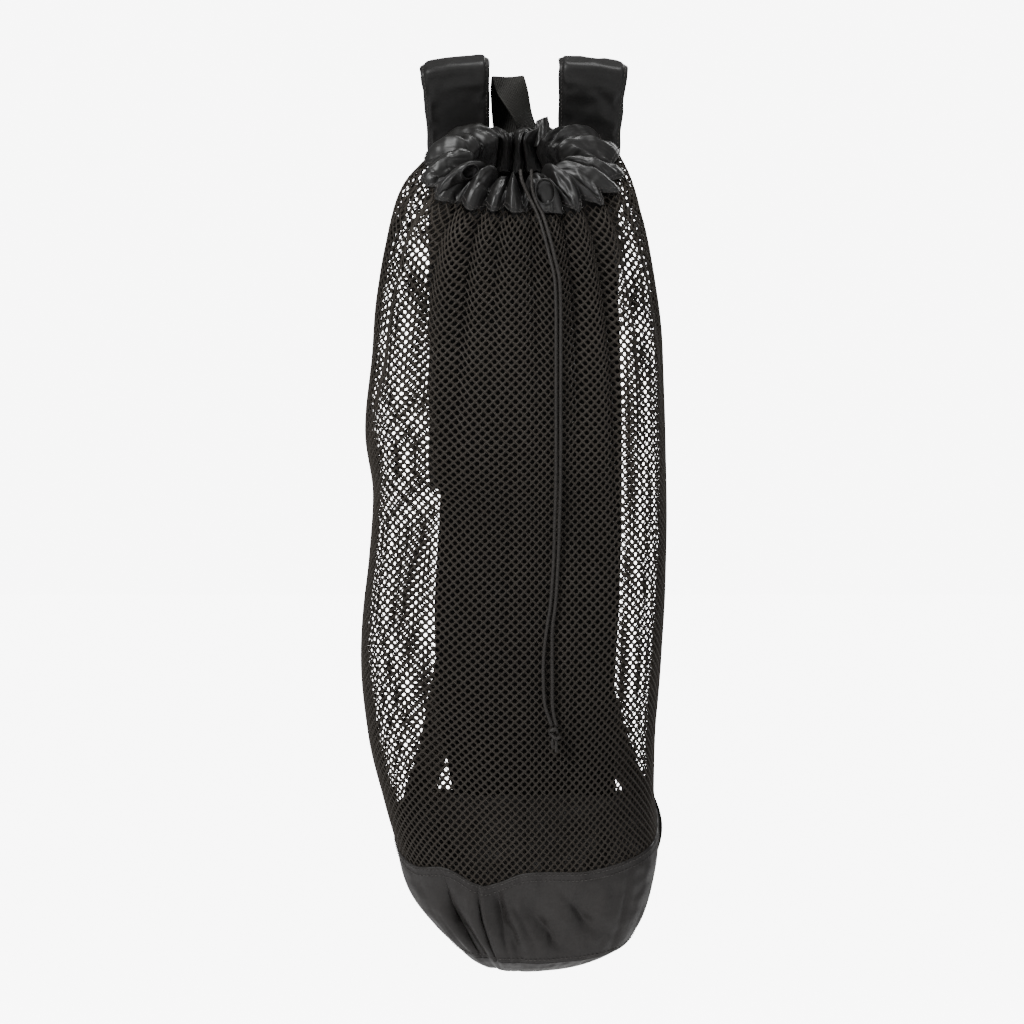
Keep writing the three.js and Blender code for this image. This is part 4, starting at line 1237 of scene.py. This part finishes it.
def braid_tube(line, radius, pitch):
    """A braided cord: its strands cross over and under each other round a tube."""
    tangent = unit(np.gradient(line, axis=0))
    across = unit(np.cross(tangent, np.broadcast_to([0, 1.0, 0.15], tangent.shape)))
    other = np.cross(tangent, across)
    so_far = lengths_along(line)[:, None]
    angle = (TAU * np.arange(CORD_SIDES) / CORD_SIDES)[None]
    turn = TAU * so_far / pitch
    one = np.cos(BRAID_STRANDS * (angle + turn / 2))
    two = np.cos(BRAID_STRANDS * (angle - turn / 2))
    swell = radius * (1 - BRAID_RELIEF + BRAID_RELIEF * np.maximum(one, two) + CROSSING_RELIEF * one * two)
    ends = np.minimum(so_far, so_far[-1] - so_far)
    swell = swell * np.sqrt(np.clip((ends + END_BLUNT) / radius, 0.1, 1))
    grid = (
        line[:, None]
        + across[:, None] * (np.cos(angle) * swell)[..., None]
        + other[:, None] * (np.sin(angle) * swell)[..., None]
    )
    ring = np.arange(CORD_SIDES)
    caps = np.stack([ring[::-1], ring + (len(line) - 1) * CORD_SIDES])
    return grid.reshape(-1, 3), grid_quads(len(line), CORD_SIDES, True), caps


class BAG_OT_drawcords(bpy.types.Operator):
    """Makes the two braided ends of the drawcord and the knot that joins them"""

    bl_idname = "bag.drawcords"
    bl_label = "Drawcords"

    def execute(self, context):
        pitch = context.scene.bag_sizes.braid_pitch / MM
        knot = self.knot(pitch)
        for name, points in (("drawcord_left", CORD_LEFT), ("drawcord_right", CORD_RIGHT)):
            line = smooth_line(points, CORD_SPACING)
            vertices, polygons = joined([braid_tube(line, CORD_RADIUS, pitch)])
            cord = new_piece(f"{name}_braid", vertices, polygons, material("cord"), replaces=[name])
        return {"FINISHED"}

    def knot(self, pitch):
        """An overhand knot, with two short tails below it."""
        t = np.linspace(0, 1, 90)
        turn = TAU * t * KNOT_TURNS + 0.6
        centre = np.array(KNOT_CENTRE)
        wrap = KNOT_WRAP + KNOT_LOBE * np.cos(3 * turn / 2)
        round_knot = [wrap * np.cos(turn), wrap * np.sin(turn)]
        down_knot = KNOT_HALF_HEIGHT * np.cos(math.pi * t) + KNOT_LOBE_RISE * np.sin(3 * turn / 2)
        line = centre + np.stack([*round_knot, down_knot], -1)
        parts = [braid_tube(smooth_line(line[::3], CORD_SPACING), CORD_RADIUS, pitch)]
        for aside, length in TAILS:
            tail = [
                centre + (aside * 0.5, 0, -TAIL_START),
                centre + (aside * 1.2, -0.6, -TAIL_START - length * 0.5),
                centre + (aside * 1.0, -1.0, -TAIL_START - length),
            ]
            parts.append(braid_tube(smooth_line(tail, CORD_SPACING), TAIL_RADIUS, pitch))
        vertices, polygons = joined(parts)
        return new_piece(
            "drawcord_knot_braid", vertices, polygons, material("cord"), replaces=["drawcord_knot"]
        )


# The net

OCTAGON = TAU * np.arange(8) / 8
NET_UNDER_SKIRT = 7.0
NET_SEAM = 0.5 - NET_SEAM_SHIFT / GIRTH
STRAND_CROWN = 0.25


def net_side(name, solid, left):
    """One side of the net: round holes on a square lattice turned by half a right angle. Each cell is a
    diamond with its corners between the holes. Both sides lie on one lattice, and meet cell by cell."""
    sizes = bpy.context.scene.bag_sizes
    half = sizes.hole_spacing / MM / 2
    hole = sizes.hole_width / MM / 2
    thick = sizes.strand_thick / MM / 2
    width = PANEL_LEFT - PANEL_RIGHT
    columns = 2 * round(width * GIRTH / half / 2)
    rows = 2 * round(BODY_DROP / half / 2)
    step = width / columns
    seam = round((NET_SEAM - PANEL_RIGHT) / step)
    a, b = np.meshgrid(np.arange(1, columns), np.arange(1, rows), indexing="ij")
    share = PANEL_RIGHT + a * step
    above_skirt = b * half / BODY_DROP < skirt_top(share) + NET_UNDER_SKIRT / BODY_DROP
    keep = ((a + b) % 2 == 0) & ((a >= seam) == left) & above_skirt
    a, b, share = a[keep], b[keep], share[keep]

    # Corners between cells, once for the outer face and once for the inner
    sides = np.array([(1, 0), (0, 1), (-1, 0), (0, -1)])
    key = (a[:, None] + sides[:, 0]) * (rows + 1) + b[:, None] + sides[:, 1]
    used, corner = np.unique(key, return_inverse=True)
    corner = corner.reshape(key.shape)
    corner_share = PANEL_RIGHT + (used // (rows + 1)) * step
    corner_down = (used % (rows + 1)) * half / BODY_DROP
    outer = bag_point(corner_share, corner_down)
    out = normals(bag_point, corner_share, corner_down)
    outer = outer + out * STRAND_CROWN
    inner = outer - out * 2 * (thick + STRAND_CROWN)

    # Rims of the holes, halfway through the net
    rim_share = share[:, None] + hole * np.cos(OCTAGON) * step / half
    rim_down = (b[:, None] * half + hole * np.sin(OCTAGON)) / BODY_DROP
    rim = bag_point(rim_share, rim_down) - normals(bag_point, rim_share, rim_down) * thick
    count = len(used)
    rim_number = 2 * count + np.arange(rim_share.size).reshape(rim_share.shape)

    kites, webs = [], []
    for layer, flip in ((0, False), (count, True)):
        for k in range(4):
            before, at, after = (2 * k - 1) % 8, 2 * k, (2 * k + 1) % 8
            kite = np.stack(
                [corner[:, k] + layer, rim_number[:, after], rim_number[:, at], rim_number[:, before]], -1
            )
            web = np.stack([corner[:, k] + layer, corner[:, (k + 1) % 4] + layer, rim_number[:, after]], -1)
            kites.append(kite[:, ::-1] if flip else kite)
            webs.append(web[:, ::-1] if flip else web)
    vertices = np.concatenate([outer, inner, rim.reshape(-1, 3)])
    uv = np.concatenate(
        [
            np.tile(np.stack([corner_share * GIRTH, corner_down * BODY_DROP], -1), (2, 1)),
            np.stack([rim_share * GIRTH, rim_down * BODY_DROP], -1).reshape(-1, 2),
        ]
    )
    faces = [np.concatenate(kites)[:, ::-1], np.concatenate(webs)[:, ::-1]]
    return new_piece(name, vertices, faces, material("net"), uv, [solid])


class BAG_OT_net(bpy.types.Operator):
    """Makes the knitted net with its holes cut through"""

    bl_idname = "bag.net"
    bl_label = "Net"

    def execute(self, context):
        net_side("net_left", "mesh_body_left", True)
        net_side("net_right", "mesh_body_right", False)
        return {"FINISHED"}


# The nylon

# Columns round and rows down of each wall, and the steps of a line of stitches
PANEL_GRID = (110, 120)
SKIRT_GRID = (520, 60)
BASE_GRID = (240, 60)
COLLAR_GRID = (640, 64)
STITCH_STEPS = 900

# In millimetres: how far the walls and their thread stand off the bag, and the stitches from the seams
PANEL_LIFT = 0.3
PANEL_THREAD_LIFT = 0.55
PANEL_STITCHES = (1.4, 5.6)
PANEL_UNDER_SKIRT = 4.0
SKIRT_LIFT = 0.9
SKIRT_THREAD_LIFT = 1.1
SKIRT_STITCHES = (2.2, 7.0)
BASE_STITCHES = 3.0
BASE_MIDDLE = 0.004


def nylon_wall(name, surface, shares, places, height, kind, replaces, wrap=False, side=1, lift=0.0):
    """A nylon wall on a surface. places has a row for each line down and a column for each share."""
    shares = np.broadcast_to(shares, places.shape)
    grid = surface(shares, places)
    if lift:
        grid = grid + normals(surface, shares, places) * lift
    thick = bpy.context.scene.bag_sizes.nylon_thick / MM
    vertices, quads = sheet_of(grid, thick, wrap, side)
    uv = np.tile(np.stack([shares * GIRTH, places * height], -1).reshape(-1, 2), (2, 1))
    return new_piece(name, vertices, [quads], material(kind), uv, replaces)


def ring_shares(count):
    """Even places round a ring, without the first again at its end."""
    return np.linspace(0, 1, count, endpoint=False)


def rows_between(top, bottom, count):
    """Rows of places, from top to bottom, for each column."""
    t = np.linspace(0, 1, count)[:, None]
    return top + (bottom - top) * t


class BAG_OT_back_panel(bpy.types.Operator):
    """Makes the nylon back panel with two rows of stitches along each edge"""

    bl_idname = "bag.back_panel"
    bl_label = "Back panel"

    def execute(self, context):
        shares = np.linspace(PANEL_LEFT, PANEL_RIGHT + 1, PANEL_GRID[0])
        foot = skirt_top(shares) + PANEL_UNDER_SKIRT / BODY_DROP
        places = rows_between(SEAM_DROP, foot, PANEL_GRID[1])
        # The panel's nylon carries painted shade: its near-black colour stands for the shade inside the bag
        nylon_wall(
            "back_panel_nylon", bag_point, shares, places, BODY_DROP, "panel_nylon", ["back_panel"],
            lift=PANEL_LIFT,
        )
        runs = []
        for edge, way in ((PANEL_LEFT, 1), (PANEL_RIGHT + 1, -1)):
            down = np.linspace(0.01, float(skirt_top(np.array(edge))), 200)
            for inset in PANEL_STITCHES:
                runs.append(seam_line(bag_point, edge + way * inset / GIRTH, down, PANEL_THREAD_LIFT))
        stitching("back_panel_stitches", runs)
        return {"FINISHED"}


class BAG_OT_base(bpy.types.Operator):
    """Makes the nylon skirt and the base panel below it, with their stitched seams"""

    bl_idname = "bag.base"
    bl_label = "Base"

    def execute(self, context):
        shares = ring_shares(SKIRT_GRID[0])
        places = rows_between(skirt_top(shares), 1.0, SKIRT_GRID[1])
        nylon_wall(
            "base_skirt_nylon", bag_point, shares, places, BODY_DROP, "nylon", ["base_skirt"],
            wrap=True, lift=SKIRT_LIFT,
        )
        base_shares = ring_shares(BASE_GRID[0])
        base_places = rows_between(np.full(BASE_GRID[0], BASE_MIDDLE), 1.0, BASE_GRID[1])
        nylon_wall(
            "base_panel_nylon", base_point, base_shares, base_places, BODY_DEPTH / 2, "nylon",
            ["base_panel"], wrap=True, side=-1,
        )
        ring = np.linspace(0, 1, STITCH_STEPS)
        seams = [skirt_top(ring) + inset / BODY_DROP for inset in SKIRT_STITCHES]
        seams.append(1 - BASE_STITCHES / BODY_DROP)
        runs = [seam_line(bag_point, ring, seam, SKIRT_THREAD_LIFT) for seam in seams]
        stitching("base_skirt_stitches", runs)
        return {"FINISHED"}


# Open ends of the casing: rings from the opening back into the folds, each a middle and two half axes
LEFT_END = (
    ((-42.6, -94.5, -93.2), (6.2, 1.2, 3.4), (-2.4, -3.0, 4.4)),
    ((-43.6, -91.5, -93.8), (5.6, 1.2, 3.6), (-2.4, -3.0, 4.0)),
    ((-48.0, -90.5, -95.8), (4.8, 1.0, 5.0), (-2.6, -4.2, 2.8)),
    ((-55.0, -91.0, -99.5), (3.6, 0.4, 6.4), (-1.6, -5.4, 1.2)),
    ((-62.0, -88.0, -104.0), (3.2, 0.0, 6.4), (-2.0, -5.0, 0.6)),
    ((-67.0, -81.0, -108.5), (2.6, 0.0, 5.2), (-1.4, -3.4, 0.0)),
)
RIGHT_END = (
    ((14.2, -109.5, -109.6), (7.6, 0.6, 1.8), (-1.8, -2.4, 9.8)),
    ((14.6, -106.0, -110.2), (7.0, 0.6, 1.6), (-1.7, -2.4, 9.0)),
    ((15.6, -103.0, -111.6), (7.6, 1.0, 1.4), (-1.6, -4.2, 8.4)),
    ((17.2, -100.5, -115.0), (8.0, 1.2, 1.0), (-1.0, -5.8, 6.4)),
    ((18.4, -100.0, -120.5), (8.4, 1.2, 0.4), (-0.4, -4.6, 3.4)),
    ((19.0, -101.0, -126.5), (8.4, 1.2, 0.0), (0.0, -2.6, 0.8)),
)
END_SIDES = 40
END_ROWS = 24
END_WALL = 0.7
END_RIPPLE = 0.035
COLLAR_HEIGHT = 60.0
COLLAR_STITCHES = (0.975, 0.92)
COLLAR_THREAD_LIFT = 0.2

# The flap's corners (across, up): its top, then its foot, each left and right
FLAP_TOP = ((8.0, -47.0), (17.0, -43.5))
FLAP_FOOT = ((3.5, -68.0), (21.5, -66.0))
FLAP_BEHIND = (0.03, 0.3)
FLAP_ROWS = 22
FLAP_FOLD = 4.0
FLAP_CRUMPLE = 1.2
FLAP_CLEAR = 1.0
FLAP_WALL = 0.8


def casing_end(name, rings):
    """An open end of the casing, a short tube whose inside shows."""
    rings = np.array(rings)
    place = np.linspace(0, len(rings) - 1, END_ROWS)
    before = np.minimum(place.astype(int), len(rings) - 2)
    ahead = (place - before)[:, None, None]
    smooth = rings[before] * (1 - ahead) + rings[before + 1] * ahead
    middle, one, other = (smooth[:, k][:, None] for k in range(3))
    turn = TAU * np.arange(END_SIDES) / END_SIDES
    far = place[:, None] / (len(rings) - 1)
    ripple = 1 + END_RIPPLE * uneven(turn * 2.2 + rings[0, 0, 0], far * 9)
    grid = middle + one * (np.cos(turn) * ripple)[..., None] + other * (np.sin(turn) * ripple)[..., None]
    outward = grid_normals(grid, True) * (grid - middle)
    side = 1 if outward.sum() > 0 else -1
    vertices, quads = sheet_of(grid, END_WALL, True, side)
    return new_piece(name, vertices, [quads], material("casing_nylon"))


def loop_flap():
    """The small pointed flap of nylon that stands up behind the mouth."""
    u, v = np.meshgrid(np.linspace(0, 1, FLAP_ROWS), np.linspace(0, 1, FLAP_ROWS))
    right, low = u[..., None], v[..., None]
    edges = [np.array(edge[0]) * (1 - right) + np.array(edge[1]) * right for edge in (FLAP_TOP, FLAP_FOOT)]
    flat = edges[0] * (1 - low) + edges[1] * low
    fold = FLAP_FOLD * np.sin(math.pi * u) * (0.4 + v) + FLAP_CRUMPLE * uneven(u * 7, v * 3)
    behind = collar_point(*FLAP_BEHIND)[1] - FLAP_CLEAR
    grid = np.stack([flat[..., 0], behind - fold, flat[..., 1]], -1)
    side = 1 if grid_normals(grid, False)[..., 1].mean() < 0 else -1
    vertices, quads = sheet_of(grid, FLAP_WALL, False, side)
    new_piece("collar_flap", vertices, [quads], material("casing_nylon"))


class BAG_OT_collar(bpy.types.Operator):
    """Makes the gathered satin casing round the mouth, its open ends and its flap"""

    bl_idname = "bag.collar"
    bl_label = "Collar"

    def execute(self, context):
        shares = ring_shares(COLLAR_GRID[0])
        places = rows_between(np.full(COLLAR_GRID[0], INNER_EDGE), 1.0, COLLAR_GRID[1])
        nylon_wall(
            "collar_casing", collar_point, shares, places, COLLAR_HEIGHT, "casing_nylon",
            ["collar"], wrap=True,
        )
        casing_end("casing_end_left", LEFT_END)
        casing_end("casing_end_right", RIGHT_END)
        loop_flap()
        ring = np.linspace(0, 1, STITCH_STEPS)
        runs = [seam_line(collar_point, ring, place, COLLAR_THREAD_LIFT) for place in COLLAR_STITCHES]
        stitching("collar_stitches", runs)
        return {"FINISHED"}


# The straps

PAD_SPACING = 4.0
PAD_CAP = 2.0
PAD_GROWTH = 0.07
EDGE_THICK = 2.0
STITCH_INSET = 3.4
SEWN_EDGE = 0.41
EDGE_WAVE = 1.3
FOLD_SLANT = 0.13
FOLD_FLARE = 6.0
SLANT_BELOW = 80.0

# A padded strap from its edge to its middle: across as a share of half its width, thick as half its thickness
# in millimetres
PAD_HALF_OUTLINE = table(
    "across thick",
    (1.0, 0.5),
    (0.95, 1.0),
    (0.87, 0.95),
    (0.79, 2.5),
    (0.69, 3.2),
    (0.56, 3.5),
    (0.42, 3.6),
    (0.28, 3.7),
    (0.14, 3.7),
    (0.0, 3.7),
)


def pad_outlines(line, side_x):
    """The strap's outline across at each step of its line. Its edges waver a little, as sewn edges do."""
    half = PAD_HALF_OUTLINE
    across = np.concatenate([half["across"], -half["across"][-2::-1]])
    thick = np.concatenate([half["thick"], half["thick"][-2::-1]])
    across = np.concatenate([across, across[-2:0:-1]])
    thick = np.concatenate([thick, -thick[-2:0:-1]])
    waver = EDGE_WAVE * uneven(lengths_along(line)[:, None] / 9 + side_x, np.sign(across) * 2.0)
    wide = across * STRAP_WIDTH / 2 - np.sign(across) * np.abs(across) ** 3 * (EDGE_WAVE * 0.6 + waver * 0.5)
    return np.stack([wide, np.broadcast_to(thick, wide.shape)], -1)


def slant_fold(points, side_x):
    """Lowers and spreads a strap's outer edge where it folds over the bar, as it hangs askew."""
    away = (points[:, 0] - side_x) * np.sign(side_x) + STRAP_WIDTH / 2
    near_top = np.clip(1 + points[:, 2] / SLANT_BELOW, 0, 1)
    points[:, 2] -= FOLD_SLANT * away * near_top
    points[:, 0] += np.sign(side_x) * FOLD_FLARE * away / STRAP_WIDTH * near_top**2
    return points


def puff(piece, pinned, pressure, frames, cap):
    """Fills a soft piece by cloth simulation. Its cloth is a little too large, so it wrinkles between the
    pinned stitches, and no point moves further than cap millimetres."""
    scene = bpy.context.scene
    mesh = piece.data
    start = np.empty(len(mesh.vertices) * 3, np.float32)
    mesh.vertices.foreach_get("co", start)
    group = piece.vertex_groups.new(name="stitches")
    group.add([int(i) for i in pinned], 1.0, "REPLACE")
    cloth = piece.modifiers.new("cloth", "CLOTH")
    settings = cloth.settings
    settings.quality = 5
    settings.mass = 0.15
    settings.tension_stiffness = 25
    settings.compression_stiffness = 25
    settings.shear_stiffness = 8
    settings.bending_stiffness = 0.25
    settings.vertex_group_mass = "stitches"
    settings.pin_stiffness = 1.0
    settings.shrink_min = -PAD_GROWTH
    settings.use_pressure = True
    settings.uniform_pressure_force = pressure
    settings.effector_weights.gravity = 0
    cloth.collision_settings.use_collision = False
    cloth.collision_settings.use_self_collision = False
    scene.frame_start, scene.frame_end = 1, frames
    for number in range(1, frames + 1):
        scene.frame_set(number)
    shaped = piece.evaluated_get(bpy.context.evaluated_depsgraph_get())
    end = np.empty(len(mesh.vertices) * 3, np.float32)
    shaped.data.vertices.foreach_get("co", end)
    piece.modifiers.remove(cloth)
    scene.frame_set(1)
    move = (end - start).reshape(-1, 3)
    length = np.linalg.norm(move, axis=1, keepdims=True)
    move *= np.minimum(1, cap * MM / np.maximum(length, 1e-9))
    mesh.vertices.foreach_set("co", (start.reshape(-1, 3) + move).ravel())
    mesh.update()


def use_modifier(piece, kind, **settings):
    """Adds a modifier and applies it."""
    modifier = piece.modifiers.new(kind.lower(), kind)
    for key, value in settings.items():
        setattr(modifier, key, value)
    bpy.context.view_layer.objects.active = piece
    bpy.ops.object.select_all(action="DESELECT")
    piece.select_set(True)
    bpy.ops.object.modifier_apply(modifier=modifier.name)


class BAG_OT_shoulder_straps(bpy.types.Operator):
    """Makes the two padded shoulder straps, filled by cloth simulation, with stitched edges"""

    bl_idname = "bag.shoulder_straps"
    bl_label = "Shoulder straps"

    def execute(self, context):
        sizes = context.scene.bag_sizes
        for side, name in zip(SIDES, SIDE_NAMES):
            line = strap_line(side["x"], PAD_SPACING)
            across = np.broadcast_to([1.0, 0, 0], line.shape)
            outlines = pad_outlines(line, side["x"])
            vertices, faces = band_of(line, across, outlines)
            vertices = slant_fold(vertices, side["x"])
            pad = new_piece(
                f"shoulder_strap_{name}_pad", vertices, faces, material("strap_nylon"),
                band_uv(line, outlines), [f"shoulder_strap_{name}"],
            )
            columns = outlines.shape[1]
            grid = np.arange(len(line) * columns).reshape(len(line), columns)
            sewn = [k for k in range(columns) if abs(outlines[0, k, 0]) > STRAP_WIDTH * SEWN_EDGE]
            pinned = np.concatenate([grid[:, sewn].ravel(), grid[:2].ravel(), grid[-2:].ravel()])
            puff(pad, np.unique(pinned), sizes.pad_pressure, sizes.pad_frames, PAD_CAP)
            use_modifier(pad, "SUBSURF", levels=1, render_levels=1)
            self.stitch(line, across, side["x"], name)
        return {"FINISHED"}

    def stitch(self, line, across, side_x, name):
        sideways, through, _ = band_frame(line, across)
        runs = []
        for face in (1, -1):
            for edge in (1, -1):
                place = sideways * edge * (STRAP_WIDTH / 2 - STITCH_INSET) + through * face * EDGE_THICK / 2
                runs.append((slant_fold(line + place, side_x), through * face))
        stitching(f"shoulder_strap_{name}_stitches", runs)


def band_uv(line, outline):
    """Millimetres across and along, for a band's ring of points at each step and its two end points."""
    so_far = lengths_along(line)
    outline = np.broadcast_to(outline, (len(line), *np.shape(outline)[-2:]))
    grid = np.stack(np.broadcast_arrays(outline[..., 0], so_far[:, None]), -1)
    return np.concatenate([grid.reshape(-1, 2), [[0, 0]], [[0, so_far[-1]]]])


BAND_THICK = 0.8 * WEBBING_THICK
TAB_BAND_THICK = 0.9 * TAB_THICK
WEBBING_SPACING = 2.0
TAB_SPACING = 1.2
LOOP_SPACING = 1.0


def webbing_band(name, line, across, thick, replaces):
    """A flat band of webbing along a line."""
    outline = box_outline(WEBBING_WIDTH, thick)
    vertices, faces = band_of(line, across, outline)
    uv = band_uv(line, outline)
    return new_piece(name, vertices, faces, material("webbing"), uv, replaces)


class BAG_OT_strap_webbing(bpy.types.Operator):
    """Makes the webbing below each padded strap, its adjuster and the tab that holds it"""

    bl_idname = "bag.strap_webbing"
    bl_label = "Strap webbing"

    def execute(self, context):
        for side, name in zip(SIDES, SIDE_NAMES):
            line = webbing_line(side, WEBBING_SPACING)
            across = webbing_across(side, len(line))
            webbing_band(
                f"strap_webbing_{name}_band", line, across, BAND_THICK, [f"strap_webbing_{name}"]
            )
            self.tab(side, name)
            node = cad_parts[f"strap_slider_{name}"]
            node.data.materials.clear()
            node.data.materials.append(material("slider_plastic"))
        return {"FINISHED"}

    def tab(self, side, name):
        share = side["tab_share"]
        points = [on_bag(share, TAB_TOP + (1 - TAB_TOP) * t, TAB_LIFT) for t in (0, 0.5, 1)]
        past = unit(points[2] - points[1]) * TAB_PAST
        points.append(points[2] + past + normals(bag_point, share, 1.0) * TAB_PAST)
        line = smooth_line(points, TAB_SPACING)
        across = np.broadcast_to(round_bag(share, 1.0), line.shape)
        webbing_band(f"strap_anchor_{name}_tab", line, across, TAB_BAND_THICK, [f"strap_anchor_{name}"])


class BAG_OT_haul_loop(bpy.types.Operator):
    """Makes the webbing haul loop between the straps"""

    bl_idname = "bag.haul_loop"
    bl_label = "Haul loop"

    def execute(self, context):
        seat = back_outside(SEWN_TOP - LOOP_SEWN) + WEBBING_THICK / 2 + LOOP_CLEAR
        points = []
        for row in LOOP_RUN:
            rise = row["high"] * (LOOP_SEWN if row["high"] < 0 else LOOP_HEIGHT)
            across = LOOP_X + row["aside"] * LOOP_SPREAD
            points.append((across, seat + row["back"] * LOOP_DEPTH, SEWN_TOP + rise))
        line = smooth_line(points, LOOP_SPACING)
        t = np.linspace(0, 1, len(line))
        turn = math.radians(LOOP_TURN_DEG) * np.sin(math.pi * np.minimum(t / LOOP_FRONT_LEG, 1))
        across = np.stack([np.cos(turn), np.sin(turn), np.zeros(len(line))], -1)
        webbing_band("haul_loop_band", line, across, BAND_THICK, ["haul_loop"])
        return {"FINISHED"}


class BAG_PT_panel(bpy.types.Panel):
    """Lists the bag's pieces and their sizes and colours"""

    bl_label = "Mesh Dive Gear Bag"
    bl_idname = "BAG_PT_panel"
    bl_space_type = "VIEW_3D"
    bl_region_type = "UI"
    bl_category = "Bag"

    def draw(self, context):
        for operator in OPERATORS:
            self.layout.operator(operator.bl_idname)
        for group in (context.scene.bag_sizes, context.scene.bag_colours):
            box = self.layout.box()
            for name in group.__annotations__:
                box.prop(group, name)


OPERATORS = (
    BAG_OT_stage,
    BAG_OT_drawcords,
    BAG_OT_net,
    BAG_OT_back_panel,
    BAG_OT_base,
    BAG_OT_collar,
    BAG_OT_shoulder_straps,
    BAG_OT_strap_webbing,
    BAG_OT_haul_loop,
)
CLASSES = (BagSizes, BagColours, *OPERATORS, BAG_PT_panel)


def register():
    for item in CLASSES:
        bpy.utils.register_class(item)
    bpy.types.Scene.bag_sizes = PointerProperty(type=BagSizes)
    bpy.types.Scene.bag_colours = PointerProperty(type=BagColours)


def unregister():
    del bpy.types.Scene.bag_colours
    del bpy.types.Scene.bag_sizes
    for item in reversed(CLASSES):
        bpy.utils.unregister_class(item)


def main():
    register()
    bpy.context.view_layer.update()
    for operator in OPERATORS:
        group, name = operator.bl_idname.split(".")
        getattr(getattr(bpy.ops, group), name)()


if __name__ == "__main__":
    main()
